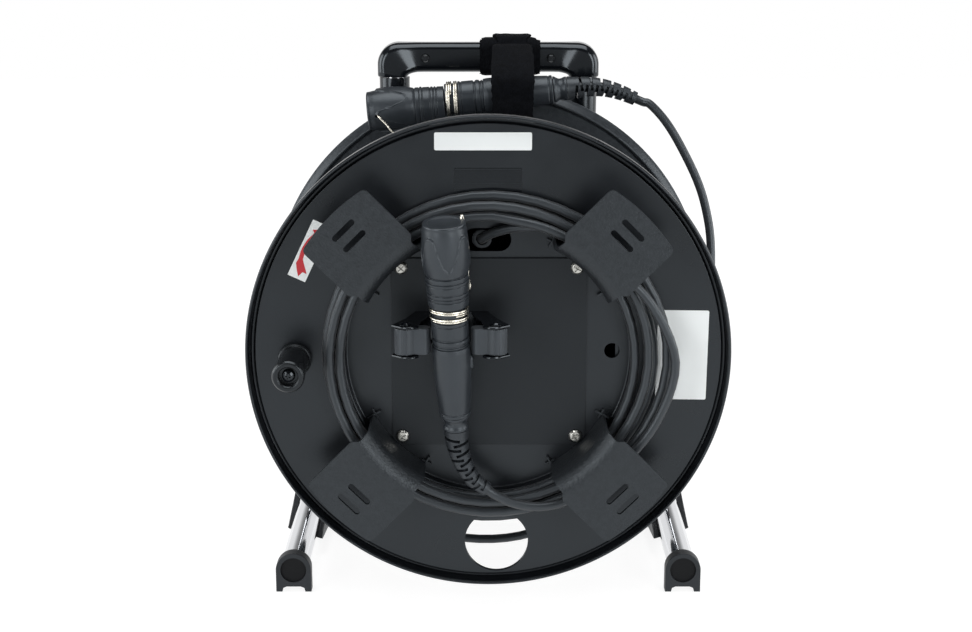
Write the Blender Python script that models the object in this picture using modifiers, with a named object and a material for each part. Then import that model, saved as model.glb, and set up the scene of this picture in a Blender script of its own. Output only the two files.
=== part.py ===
"""Cable reel with a coiled fibre lead, modelled in metres with +Z up.

The drum turns about a Y axis. The front of the reel faces -Y, the reel stands on Z = 0
and the origin lies at the bottom centre of the reel without its two leads.
"""
import math

import bmesh
import bpy
from mathutils import Matrix, Vector

# Fits
GAP = 0.0003
SLIDE_FIT = 0.0003
HOLE_FIT = 0.0002

# Drum
FLANGE_RADIUS = 0.155
RIM_WIDTH = 0.009
RIM_RISE = 0.0042
WEB_SET_BACK = 0.0045
WEB_THICKNESS = 0.003
RIM_SPACING = 0.1583
RECESS_RADIUS = 0.0915
RECESS_DEPTH = 0.0065
FLOOR_THICKNESS = 0.0025
POCKET_RADIUS = 0.024
POCKET_DEPTH = 0.008
BOSS_WALL = 0.0045
BOSS_LENGTH = 0.021
BARREL_WALL = 0.002
PACK_RADIUS = 0.116
PACK_DEPTH = 0.032

# Holes in the front flange
FINGER_HOLE_RADIUS = 0.0207
FINGER_HOLE_OFFSET = (0.0054, -0.1266)
SIDE_HOLE_RADIUS = 0.005
SIDE_HOLE_OFFSET = (0.0796, 0.0014)
LEAD_HOLE_LENGTH = 0.031
LEAD_HOLE_HEIGHT = 0.015
LEAD_HOLE_OFFSET = (0.0047, 0.0742)

# Axle and its bearings
AXLE_RADIUS = 0.008
AXLE_HEIGHT = 0.172
AXLE_HEAD_RADIUS = 0.013
AXLE_HEAD_LENGTH = 0.005
AXLE_TIP = 0.003
BUSH_WALL = 0.003
BUSH_FLANGE_RADIUS = 0.015
BUSH_FLANGE = 0.0017
WASHER_THICKNESS = 0.0014
RING_THICKNESS = 0.0014
RING_GROOVE = 0.001
RING_RADIUS = 0.011
SPACER_RADIUS = 0.012

# Cable
CABLE_RADIUS = 0.003
WINDING_TURNS = 12
WINDING_PITCH = 0.0066
WINDING_POINTS = 24
LANE_PITCH = 0.0072

# Cover plate on the drum's front
COVER_WIDTH = 0.125
COVER_HEIGHT = 0.124
COVER_OFFSET = (0.0005, 0.0005)
COVER_THICKNESS = 0.0016
COVER_SCREW_INSET = (0.0065, 0.006)
SCREW_HEAD_RADIUS = 0.0043
SCREW_HEAD_HEIGHT = 0.0022
SCREW_RADIUS = 0.0019
SCREW_LENGTH = 0.0045

# Guards that hold the inner coil
GUARD_WALL = 0.0025
GUARD_INNER_RADIUS = 0.0845
GUARD_OUTER_RADIUS = 0.1368
GUARD_BEND = 0.0095
GUARD_REACH = 0.030
GUARD_WIDTH = 0.055
GUARD_WALL_WIDTH = 0.0475
GUARD_SWEEP = math.radians(46)
GUARD_STEPS = 5
SLOT_LENGTH = 0.016
SLOT_WIDTH = 0.0038
SLOT_RADII = (0.1154, 0.1248)

# Crank knob
KNOB_DROP = 0.0017
KNOB_FROM_PACK = 0.0074
KNOB_RADIUS = 0.0102
KNOB_BASE_RADIUS = 0.0095
KNOB_REACH = 0.041
KNOB_EDGE = 0.002
KNOB_RECESS_RADIUS = 0.006
KNOB_RECESS_DEPTH = 0.005
SPINDLE_RADIUS = 0.003
SPINDLE_HEAD_RADIUS = 0.0045
SPINDLE_HEAD_HEIGHT = 0.0025
SPINDLE_NUT_RADIUS = 0.0055
SPINDLE_NUT_HEIGHT = 0.0035

# Stand
TUBE_RADIUS = 0.0095
TUBE_WALL = 0.0015
FOOT_SPREAD = 0.1314
FOOT_TUBE_HEIGHT = 0.0155
FOOT_FRONT = 0.027
UPRIGHT_BEHIND_RIM = 0.0217
UPRIGHT_SPREAD = 0.0668
UPRIGHT_STRAIGHT = 0.095
FLOOR_BEND = 0.040
SHOULDER_BEND = 0.060
BEND_STEPS = 4
CAP_RADIUS = 0.012
CAP_RECESS_RADIUS = 0.009
CAP_RECESS_DEPTH = 0.002
CAP_FLOOR = 0.0015
CAP_LENGTH = 0.009
CAP_ARCH_WIDTH = 0.0155
CAP_ARCH_HEIGHT = 0.0036
SHOE_WIDTH = 0.027
SHOE_NOSE_REACH = 0.077
SHOE_NOSE_HEIGHT = 0.0125
SHOE_SOLE_REACH = 0.030
SHOE_BACK_REACH = 0.020
SHOE_BACK_HEIGHT = 0.022
SHOE_SKEW = 0.8
CROSSBAR_LENGTH = 0.212
CROSSBAR_HEIGHT = 0.036
CROSSBAR_THICKNESS = 0.004
RIVET_RADIUS = 0.004
RIVET_HEAD_RADIUS = 0.007
RIVET_HEAD_HEIGHT = 0.0025

# Handle
HANDLE_TOP = 0.1828
HANDLE_UNDERSIDE = 0.1618
HANDLE_LEG_BOTTOM = 0.1588
HANDLE_HALF_SPAN = 0.0784
HANDLE_LEG_INNER = 0.0565
HANDLE_RAMP = 0.006
HANDLE_CORNER = 0.011
HANDLE_DEPTH = 0.025
HANDLE_ROUND = 0.003
SOCKET_TOP = 0.176
HANDLE_SCREW_SPACING = 0.089
HANDLE_SCREW_HEIGHT = 0.1722
HANDLE_RECESS_RADIUS = 0.0032
HANDLE_RECESS_DEPTH = 0.003
HANDLE_SCREW_RADIUS = 0.0015
HANDLE_HEAD_RADIUS = 0.0028
HANDLE_HEAD_HEIGHT = 0.002

# Strap
STRAP_THICKNESS = 0.0016
STRAP_WIDTH = 0.025
STRAP_CENTRE = 0.017
WRAP_WIDTH = 0.0415
WRAP_CENTRE = 0.0158
WRAP_TOP = 0.0030
WRAP_SIDE = 0.0022
WRAP_BOTTOM = 0.0016

# Connectors, measured from the far face of the cap
CAP_SKIRT_END = 0.0534
CONNECTOR_PLUG_END = 0.0630
CONNECTOR_RINGS_END = 0.0808
CONNECTOR_BODY_END = 0.1285
CONNECTOR_RADIUS = 0.0122
CONNECTOR_WAIST = CONNECTOR_RADIUS - 0.0004
COLLAR_END = 0.1382
DUST_CAP_PROFILE = (
    (0.0, 0.0), (0.0128, 0.0), (0.0142, 0.0018), (0.0153, 0.0110), (0.0153, 0.0200),
    (0.0134, 0.0326), (0.0127, 0.0330), (0.0133, 0.0340), (0.0131, 0.0440),
    (0.0124, CAP_SKIRT_END), (0.0, CAP_SKIRT_END))
BODY_PROFILE = (
    (0.0, CAP_SKIRT_END + GAP), (0.0104, CAP_SKIRT_END + GAP), (0.0104, CONNECTOR_PLUG_END),
    (0.0115, CONNECTOR_PLUG_END + 0.0004), (0.0114, 0.0742), (0.0107, 0.0750),
    (0.0115, 0.0762), (0.0115, CONNECTOR_RINGS_END),
    (CONNECTOR_WAIST, CONNECTOR_RINGS_END + 0.0004), (CONNECTOR_WAIST, 0.0940),
    (0.0098, 0.1260), (0.0098, CONNECTOR_BODY_END), (0.0, CONNECTOR_BODY_END))
COLLAR_PROFILE = (
    (0.0, CONNECTOR_BODY_END + GAP), (0.0092, CONNECTOR_BODY_END + GAP),
    (0.0073, 0.1328), (0.0073, 0.1340), (0.0080, 0.1364), (0.0082, COLLAR_END),
    (0.0, COLLAR_END))
LANYARD_RING_INNER = 0.0107
LANYARD_RING_OUTER = 0.0125
LANYARD_RING_START = 0.0548
LANYARD_RING_HEIGHT = 0.0075
WIRE_RADIUS = 0.0006
THUMB_LUG_LENGTH = 0.010
THUMB_LUG_START = 0.0872
THUMB_LUG_REACH = 0.0132
BOOT_START_RADIUS = 0.0082
BOOT_END_RADIUS = 0.0047
BOOT_CORE_RADIUS = 0.0034
BOOT_SLOTS = 7
BOOT_SLOT_WIDTH = 0.0018
INNER_CONNECTOR_RUN = (0.0470, 0.1478, -0.9879)
OUTER_CONNECTOR_OFFSET = (-0.0833, 0.1425)
OUTER_CONNECTOR_SET_FORWARD = 0.043
OUTER_CONNECTOR_SLOPE = 0.0900
OUTER_CAP_DROP = 0.0033

# Clip that holds the inner connector
CLIP_CENTRE_X = -0.0232
CLIP_PIN_Y = -0.0255
CLIP_JAW_BOTTOM = 0.0096
CLIP_JAW_TOP = 0.0265
CLIP_HOLD_HEIGHT = 0.01725
CLIP_HOLD_ALONG = 0.0786
CLIP_ARM = 0.0012
CLIP_PIN_SPREAD = 0.0282
CLIP_PIN_RADIUS = 0.0015
CLIP_PIN_HEAD = 0.0030
CLIP_PIN_HEAD_HEIGHT = 0.0010
CLIP_LOBE_RADIUS = 0.0074
CLIP_INNER_LOBE_RADIUS = 0.0056
CLIP_INNER_LOBE_SPREAD = CONNECTOR_RADIUS + CLIP_INNER_LOBE_RADIUS
CLIP_WEB_THICKNESS = 0.002
CLIP_WEB_SPREAD = 0.021

# Clamp that the inner lead comes out of
GLAND_RADIUS = 0.0065
GLAND_LENGTH = 0.010
GLAND_OFFSET = (-0.0040, 0.0740)

# Inner coil, in layers counted from the flange
COIL_POINTS = 24
COIL_INNER_RADIUS = 0.0918
COIL_PITCH = 0.0068
COIL_LAYER_RISE = 0.0067
COIL_SPREAD = 0.75
COIL_SPREAD_WIDTH = math.radians(42)
COIL_OUT_TURNS = 2.0
COIL_IN_TURNS = 1.93

# Facets round a shape
DRUM_FACETS = 36
ROUND_FACETS = 16
SMALL_FACETS = 12

# Reach of the shapes that only cut
CUT_REACH = 0.1

# Places that follow from the sizes
UPRIGHT_DEPTH = RIM_SPACING + UPRIGHT_BEHIND_RIM
SHOE_NOSE = UPRIGHT_DEPTH - SHOE_NOSE_REACH
SHOE_SOLE_START = UPRIGHT_DEPTH - SHOE_SOLE_REACH
SHOE_BACK = UPRIGHT_DEPTH + SHOE_BACK_REACH
RIM_Y = (KNOB_REACH - SHOE_BACK) / 2
BARREL_RADIUS = PACK_RADIUS - PACK_DEPTH
KNOB_OFFSET = (-PACK_RADIUS - KNOB_FROM_PACK, -KNOB_DROP)
OUTER_CONNECTOR_TOP = (OUTER_CONNECTOR_OFFSET[0],
                       UPRIGHT_DEPTH - OUTER_CONNECTOR_SET_FORWARD,
                       OUTER_CONNECTOR_OFFSET[1])
WEB_BACK = WEB_SET_BACK + WEB_THICKNESS
FLOOR_FRONT = WEB_SET_BACK + RECESS_DEPTH
FLOOR_BACK = FLOOR_FRONT + FLOOR_THICKNESS
POCKET_FLOOR = FLOOR_FRONT + POCKET_DEPTH
REAR_WEB_FRONT = RIM_SPACING - WEB_THICKNESS
BUSH_RADIUS = AXLE_RADIUS + SLIDE_FIT + BUSH_WALL
BORE_RADIUS = BUSH_RADIUS + GAP
CORE_RADIUS = PACK_RADIUS - 2 * CABLE_RADIUS - GAP
REAR_BUSH_END = RIM_SPACING + GAP + BUSH_FLANGE
CROSSBAR_BACK = UPRIGHT_DEPTH - TUBE_RADIUS - GAP
CROSSBAR_FRONT = CROSSBAR_BACK - CROSSBAR_THICKNESS
COVER_BACK = FLOOR_FRONT - GAP
COVER_FRONT = COVER_BACK - COVER_THICKNESS
HANDLE_FRONT = UPRIGHT_DEPTH - HANDLE_DEPTH / 2
HANDLE_BACK = UPRIGHT_DEPTH + HANDLE_DEPTH / 2
INNER_CONNECTOR_TOP = (CLIP_CENTRE_X - CLIP_HOLD_ALONG * INNER_CONNECTOR_RUN[0],
                       CLIP_PIN_Y - CLIP_HOLD_ALONG * INNER_CONNECTOR_RUN[1],
                       CLIP_HOLD_HEIGHT - CLIP_HOLD_ALONG * INNER_CONNECTOR_RUN[2])
FOOT_HEIGHT_FROM_AXLE = FOOT_TUBE_HEIGHT - AXLE_HEIGHT

# Orientations: where a shape's own Z axis points
ALONG_Y = Matrix.Rotation(-math.pi / 2, 4, 'X')
FACING = Matrix.Rotation(math.pi / 2, 4, 'X')
ALONG_Z = Matrix.Identity(4)
ALONG_X = Matrix(((0, 0, 1, 0), (1, 0, 0, 0), (0, 1, 0, 0), (0, 0, 0, 1)))

# Colours, roughness and metallic value of each material
MATERIALS = {
    "satin_black": ((0.012, 0.012, 0.014), 0.42, 0.0),
    "textured_black": ((0.022, 0.022, 0.025), 0.60, 0.0),
    "gloss_black": ((0.008, 0.008, 0.009), 0.18, 0.0),
    "soft_black": ((0.020, 0.020, 0.022), 0.75, 0.0),
    "cable_black": ((0.016, 0.016, 0.018), 0.50, 0.0),
    "jaw_grey": ((0.055, 0.055, 0.060), 0.70, 0.0),
    "strap_black": ((0.010, 0.010, 0.011), 0.95, 0.0),
    "chrome": ((0.75, 0.75, 0.77), 0.10, 1.0),
    "zinc": ((0.62, 0.62, 0.60), 0.30, 1.0),
    "steel": ((0.45, 0.45, 0.46), 0.30, 1.0),
    "bronze": ((0.40, 0.27, 0.12), 0.35, 1.0),
}


# Scene and shape helpers

def clear_scene():
    """Remove every object, so that only the reel remains."""
    for thing in list(bpy.data.objects):
        bpy.data.objects.remove(thing, do_unlink=True)


def new_collection(name):
    collection = bpy.data.collections.new(name)
    bpy.context.scene.collection.children.link(collection)
    return collection


def at(x, y, z):
    """A place given from the axle's centre on the front rim's plane."""
    return Vector((x, RIM_Y + y, AXLE_HEIGHT + z))


def placed(x, y, z, turn=ALONG_Z):
    return Matrix.Translation(at(x, y, z)) @ turn


def material(name):
    """The named Principled material, made once."""
    found = bpy.data.materials.get(name)
    if found:
        return found
    colour, roughness, metallic = MATERIALS[name]
    made = bpy.data.materials.new(name)
    made.use_nodes = True
    made.diffuse_color = (*colour, 1.0)
    shader = made.node_tree.nodes["Principled BSDF"]
    shader.inputs["Base Color"].default_value = (*colour, 1.0)
    shader.inputs["Roughness"].default_value = roughness
    shader.inputs["Metallic"].default_value = metallic
    return made


def add_object(name, mesh, matrix):
    """A raw shape, kept with the cutters until it becomes a part."""
    made = bpy.data.objects.new(name, mesh)
    made.matrix_world = matrix
    made.hide_render = True
    made.display_type = 'WIRE'
    CUTTERS.objects.link(made)
    return made


def part(shape, material_name, pivot=None):
    """Turn a finished shape into one of the reel's parts, below its pivot."""
    settle(shape)
    CUTTERS.objects.unlink(shape)
    PARTS.objects.link(shape)
    shape.hide_render = False
    shape.display_type = 'TEXTURED'
    shape.data.name = shape.name
    shape.data.materials.clear()
    shape.data.materials.append(material(material_name))
    shape.data.shade_smooth()
    shape.data.set_sharp_from_angle(angle=math.radians(32))
    if pivot:
        shape.parent = pivot
        shape.matrix_parent_inverse = pivot.matrix_world.inverted()
    return shape


def settle(shape):
    """Apply a shape's modifiers, or turn its curve into a welded mesh, where it stands."""
    bpy.context.view_layer.update()
    evaluated = shape.evaluated_get(bpy.context.evaluated_depsgraph_get())
    mesh = bpy.data.meshes.new_from_object(evaluated)
    welded = bmesh.new()
    welded.from_mesh(mesh)
    bmesh.ops.remove_doubles(welded, verts=welded.verts, dist=0.000001)
    welded.to_mesh(mesh)
    welded.free()
    shape.modifiers.clear()
    shape.data = mesh


def curve_shape(name, curve, matrix):
    """A welded mesh made from a curve."""
    guide = add_object(name + "_curve", curve, matrix)
    bpy.context.view_layer.update()
    evaluated = guide.evaluated_get(bpy.context.evaluated_depsgraph_get())
    mesh = bpy.data.meshes.new_from_object(evaluated)
    welded = bmesh.new()
    welded.from_mesh(mesh)
    bmesh.ops.remove_doubles(welded, verts=welded.verts, dist=0.000001)
    welded.to_mesh(mesh)
    welded.free()
    bpy.data.objects.remove(guide)
    return add_object(name, mesh, matrix)


def box(name, size, matrix, bevel=0.0):
    made = bmesh.new()
    bmesh.ops.create_cube(made, size=1.0)
    bmesh.ops.scale(made, vec=size, verts=made.verts)
    mesh = bpy.data.meshes.new(name)
    made.to_mesh(mesh)
    made.free()
    shape = add_object(name, mesh, matrix)
    if bevel:
        round_edges(shape, bevel, 2)
    return shape


def cylinder(name, radius, length, matrix, facets=ROUND_FACETS):
    """A cylinder that starts at its place and runs along its own Z axis."""
    made = bmesh.new()
    bmesh.ops.create_cone(
        made, cap_ends=True, segments=facets, radius1=radius, radius2=radius, depth=length)
    bmesh.ops.translate(made, vec=(0, 0, length / 2), verts=made.verts)
    mesh = bpy.data.meshes.new(name)
    made.to_mesh(mesh)
    made.free()
    return add_object(name, mesh, matrix)


def turned(name, profile, matrix, facets=ROUND_FACETS, sweep=2 * math.pi):
    """Revolve (radius, height) points; a profile that leaves the axis is a closed ring."""
    points = list(profile)
    following = points[1:] + points[:1]
    area = sum(a[0] * b[1] - b[0] * a[1] for a, b in zip(points, following))
    if area > 0:
        points.reverse()
    count = len(points)
    edges = [(i, i + 1) for i in range(count - 1)]
    if points[0][0] > 0:
        edges.append((count - 1, 0))
    mesh = bpy.data.meshes.new(name)
    mesh.from_pydata([(radius, 0.0, height) for radius, height in points], edges, [])
    shape = add_object(name, mesh, matrix)
    screw = shape.modifiers.new("Turn", 'SCREW')
    screw.axis = 'Z'
    screw.angle = sweep
    screw.steps = facets
    screw.render_steps = facets
    screw.use_merge_vertices = True
    screw.merge_threshold = 0.00001
    return shape


def outline(name, loops, thickness, matrix, chamfer=0.0):
    """A flat outline with any inner loops as holes, thickened half to each side."""
    curve = bpy.data.curves.new(name, 'CURVE')
    curve.dimensions = '2D'
    curve.fill_mode = 'BOTH'
    curve.extrude = thickness / 2 - chamfer
    curve.bevel_depth = chamfer
    curve.bevel_resolution = 0
    curve.offset = -chamfer
    for loop in loops:
        spline = curve.splines.new('POLY')
        spline.points.add(len(loop) - 1)
        for point, (u, v) in zip(spline.points, loop):
            point.co = (u, v, 0.0, 1.0)
        spline.use_cyclic_u = True
    return curve_shape(name, curve, matrix)


def tube(name, points, radius, resolution, taper=None):
    """A round tube through the points, with an optional share of the radius at each."""
    curve = bpy.data.curves.new(name, 'CURVE')
    curve.dimensions = '3D'
    curve.bevel_depth = radius
    curve.bevel_resolution = resolution
    curve.use_fill_caps = True
    spline = curve.splines.new('POLY')
    spline.points.add(len(points) - 1)
    shares = taper or [1.0] * len(points)
    for point, place, share in zip(spline.points, points, shares):
        point.co = (*place, 1.0)
        point.radius = share
    return curve_shape(name, curve, Matrix.Identity(4))


def boolean(shape, other, operation):
    step = shape.modifiers.new(operation.title(), 'BOOLEAN')
    step.operation = operation
    step.solver = 'EXACT'
    step.object = other


def cut(shape, *cutters):
    for cutter in cutters:
        boolean(shape, cutter, 'DIFFERENCE')


def join(shape, *others):
    for other in others:
        boolean(shape, other, 'UNION')


def round_edges(shape, width, segments):
    bevel = shape.modifiers.new("Round", 'BEVEL')
    bevel.width = width
    bevel.segments = segments
    bevel.limit_method = 'ANGLE'
    bevel.angle_limit = math.radians(40)


def arc(centre, radius, start, end, steps):
    """Points of an arc in a plane, angles in degrees, both ends included."""
    angles = [math.radians(start + (end - start) * i / steps) for i in range(steps + 1)]
    return [(centre[0] + radius * math.cos(a), centre[1] + radius * math.sin(a))
            for a in angles]


def smooth(points, per_span, closed=False):
    """A smooth curve through the points, with the same number of steps in each span."""
    knots = [Vector(point) for point in points]
    count = len(knots)
    spans = count if closed else count - 1
    result = []
    for index in range(spans):
        if closed:
            before, start, end, after = (knots[(index + k) % count] for k in (-1, 0, 1, 2))
        else:
            start, end = knots[index], knots[index + 1]
            before = knots[index - 1] if index else 2 * start - end
            after = knots[index + 2] if index + 2 < count else 2 * end - start
        for step in range(per_span):
            t = step / per_span
            result.append(0.5 * (2 * start + (end - before) * t
                                 + (2 * before - 5 * start + 4 * end - after) * t ** 2
                                 + (3 * start - before - 3 * end + after) * t ** 3))
    if not closed:
        result.append(knots[-1])
    return result


def bent_path(corners, radii, steps):
    """Straight runs between corners, with an arc of the given radius at each inner one."""
    knots = [Vector(corner) for corner in corners]
    path = [knots[0]]
    for index, radius in enumerate(radii, start=1):
        corner = knots[index]
        back = (knots[index - 1] - corner).normalized()
        ahead = (knots[index + 1] - corner).normalized()
        half = back.angle(ahead) / 2
        middle = corner + (back + ahead).normalized() * radius / math.sin(half)
        start = corner + back * radius / math.tan(half) - middle
        end = corner + ahead * radius / math.tan(half) - middle
        turn = start.angle(end)
        axis = start.cross(end)
        for step in range(steps + 1):
            path.append(middle + Matrix.Rotation(turn * step / steps, 3, axis) @ start)
    path.append(knots[-1])
    return path


def least_self_gap(points, radius):
    """The least gap between stretches of one tube that aren't neighbours along it."""
    skip = 18 * radius
    travelled = [0.0]
    for a, b in zip(points, points[1:]):
        travelled.append(travelled[-1] + (b - a).length)
    least = 1.0
    for i, point in enumerate(points):
        for j in range(i + 1, len(points) - 1):
            if travelled[j] - travelled[i] < skip:
                continue
            start, run = points[j], points[j + 1] - points[j]
            share = max(0.0, min(1.0, (point - start).dot(run) / run.length_squared))
            least = min(least, (start + run * share - point).length - 2 * radius)
    return least


def length_of(points):
    return sum((b - a).length for a, b in zip(points, points[1:]))


# Drum

def rim_profile(sign, plane):
    """The rolled rim's outline, from its inner edge over the front to the web's back."""
    inner = FLANGE_RADIUS - RIM_WIDTH
    crown = FLANGE_RADIUS - RIM_WIDTH / 2
    points = [(inner, WEB_SET_BACK * sign), (inner + 0.0012, -0.0028 * sign),
              (crown, -RIM_RISE * sign), (FLANGE_RADIUS - 0.0012, -0.0028 * sign),
              (FLANGE_RADIUS, 0.0), (FLANGE_RADIUS - 0.003, WEB_BACK * sign)]
    return [(radius, plane + height) for radius, height in points]


def oval_loop(length, height, steps=6):
    straight = (length - height) / 2
    right = arc((straight, 0.0), height / 2, -90, 90, steps)
    left = arc((-straight, 0.0), height / 2, 90, 270, steps)
    return right + left


def screw_places():
    half_x = COVER_WIDTH / 2 - COVER_SCREW_INSET[0]
    half_z = COVER_HEIGHT / 2 - COVER_SCREW_INSET[1]
    return [(COVER_OFFSET[0] + sx * half_x, COVER_OFFSET[1] + sz * half_z)
            for sx in (-1, 1) for sz in (1, -1)]


def front_flange(pivot):
    outer_wall = RECESS_RADIUS + FLOOR_THICKNESS
    pocket_wall = POCKET_RADIUS + FLOOR_THICKNESS
    boss = BORE_RADIUS + BOSS_WALL
    boss_end = POCKET_FLOOR + BOSS_LENGTH
    profile = rim_profile(1, 0.0) + [
        (outer_wall, WEB_BACK), (outer_wall, FLOOR_BACK), (pocket_wall, FLOOR_BACK),
        (pocket_wall, POCKET_FLOOR + FLOOR_THICKNESS),
        (boss, POCKET_FLOOR + FLOOR_THICKNESS), (boss, boss_end), (BORE_RADIUS, boss_end),
        (BORE_RADIUS, POCKET_FLOOR), (POCKET_RADIUS, POCKET_FLOOR),
        (POCKET_RADIUS, FLOOR_FRONT), (RECESS_RADIUS, FLOOR_FRONT),
        (RECESS_RADIUS, WEB_SET_BACK)]
    flange = turned("front_flange", profile, placed(0, 0, 0, ALONG_Y), DRUM_FACETS)
    deep = 0.03
    for label, radius, (x, z), facets in (
            ("finger_hole", FINGER_HOLE_RADIUS, FINGER_HOLE_OFFSET, 28),
            ("side_hole", SIDE_HOLE_RADIUS, SIDE_HOLE_OFFSET, SMALL_FACETS),
            ("knob_hole", SPINDLE_RADIUS + HOLE_FIT, KNOB_OFFSET, SMALL_FACETS)):
        cut(flange, cylinder(label, radius, deep, placed(x, -deep / 3, z, ALONG_Y), facets))
    oval = outline("lead_hole", [oval_loop(LEAD_HOLE_LENGTH, LEAD_HOLE_HEIGHT)], deep,
                   placed(LEAD_HOLE_OFFSET[0], FLOOR_FRONT, LEAD_HOLE_OFFSET[1], FACING))
    cut(flange, oval)
    for x, z in screw_places():
        cut(flange, cylinder("floor_screw_hole", SCREW_RADIUS + HOLE_FIT, deep,
                             placed(x, 0, z, ALONG_Y), 10))
    part(flange, "satin_black", pivot)


def rear_flange(pivot):
    boss = BORE_RADIUS + BOSS_WALL
    rim = rim_profile(-1, RIM_SPACING)
    rim[0] = (rim[0][0], RIM_SPACING)
    rim[-1] = (rim[-1][0], REAR_WEB_FRONT)
    profile = rim + [
        (boss, REAR_WEB_FRONT), (boss, RIM_SPACING - BOSS_LENGTH),
        (BORE_RADIUS, RIM_SPACING - BOSS_LENGTH), (BORE_RADIUS, RIM_SPACING)]
    flange = turned("rear_flange", profile, placed(0, 0, 0, ALONG_Y), DRUM_FACETS)
    part(flange, "satin_black", pivot)


def ring_profile(inner, outer, start, end):
    return [(inner, start), (outer, start), (outer, end), (inner, end)]


def barrel(pivot):
    profile = ring_profile(BARREL_RADIUS - BARREL_WALL, BARREL_RADIUS,
                           FLOOR_BACK + GAP, REAR_WEB_FRONT - GAP)
    shape = turned("barrel", profile, placed(0, 0, 0, ALONG_Y), DRUM_FACETS)
    part(shape, "satin_black", pivot)


def pack_core(pivot):
    recess_clear = RECESS_RADIUS + FLOOR_THICKNESS + GAP
    inner = BARREL_RADIUS + GAP
    profile = [(inner, FLOOR_BACK + GAP), (recess_clear, FLOOR_BACK + GAP),
               (recess_clear, WEB_BACK + GAP), (CORE_RADIUS, WEB_BACK + GAP),
               (CORE_RADIUS, REAR_WEB_FRONT - GAP), (inner, REAR_WEB_FRONT - GAP)]
    shape = turned("pack_core", profile, placed(0, 0, 0, ALONG_Y), DRUM_FACETS)
    part(shape, "cable_black", pivot)


def lane_y():
    """Depth of the lane on the core where the outer lead comes in."""
    winding_end = REAR_WEB_FRONT - CABLE_RADIUS - 2 * GAP
    return winding_end - WINDING_TURNS * WINDING_PITCH - LANE_PITCH


def pack_winding(pivot):
    """The outer layer of the wound cable, one helix from the rear flange forwards."""
    winding_end = REAR_WEB_FRONT - CABLE_RADIUS - 2 * GAP
    circle = (CORE_RADIUS + GAP) / math.cos(math.pi / WINDING_POINTS) + CABLE_RADIUS
    total = WINDING_TURNS * WINDING_POINTS
    points = []
    for index in range(total + 1):
        angle = math.radians(70) + 2 * math.pi * index / WINDING_POINTS
        depth = winding_end - WINDING_PITCH * index / WINDING_POINTS
        points.append(at(circle * math.cos(angle), depth, circle * math.sin(angle)))
    for end, inner in ((0, 1), (-1, -2)):
        run = (points[end] - points[inner]).normalized()
        points.insert(0 if end == 0 else len(points), points[end] + run * 2 * CABLE_RADIUS)
    print("winding self gap", least_self_gap(points, CABLE_RADIUS))
    part(tube("pack_winding", points, CABLE_RADIUS, 1), "cable_black", pivot)


def cover_plate(pivot):
    cover = box("cover_plate", (COVER_WIDTH, COVER_THICKNESS, COVER_HEIGHT),
                placed(COVER_OFFSET[0], COVER_FRONT + COVER_THICKNESS / 2, COVER_OFFSET[1]))
    between_guards = cylinder("cover_limit", GUARD_INNER_RADIUS - GAP, 0.02,
                              placed(0, 0, 0, ALONG_Y), 80)
    boolean(cover, between_guards, 'INTERSECT')
    for x, z in screw_places():
        cut(cover, cylinder("cover_hole", SCREW_RADIUS + HOLE_FIT, 0.01,
                            placed(x, COVER_FRONT - 0.005, z, ALONG_Y), 10))
    part(cover, "satin_black", pivot)


def cover_screws(pivot):
    head_back = COVER_FRONT - GAP
    profile = [(0.0, -SCREW_HEAD_HEIGHT), (SCREW_HEAD_RADIUS * 0.72, -SCREW_HEAD_HEIGHT),
               (SCREW_HEAD_RADIUS, -SCREW_HEAD_HEIGHT * 0.45), (SCREW_HEAD_RADIUS, 0.0),
               (SCREW_RADIUS, 0.0), (SCREW_RADIUS, SCREW_LENGTH), (0.0, SCREW_LENGTH)]
    for index, (x, z) in enumerate(screw_places(), start=1):
        screw = turned(f"cover_screw_{index}", profile, placed(x, head_back, z, ALONG_Y),
                       SMALL_FACETS)
        part(screw, "zinc", pivot)


# Guards

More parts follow.
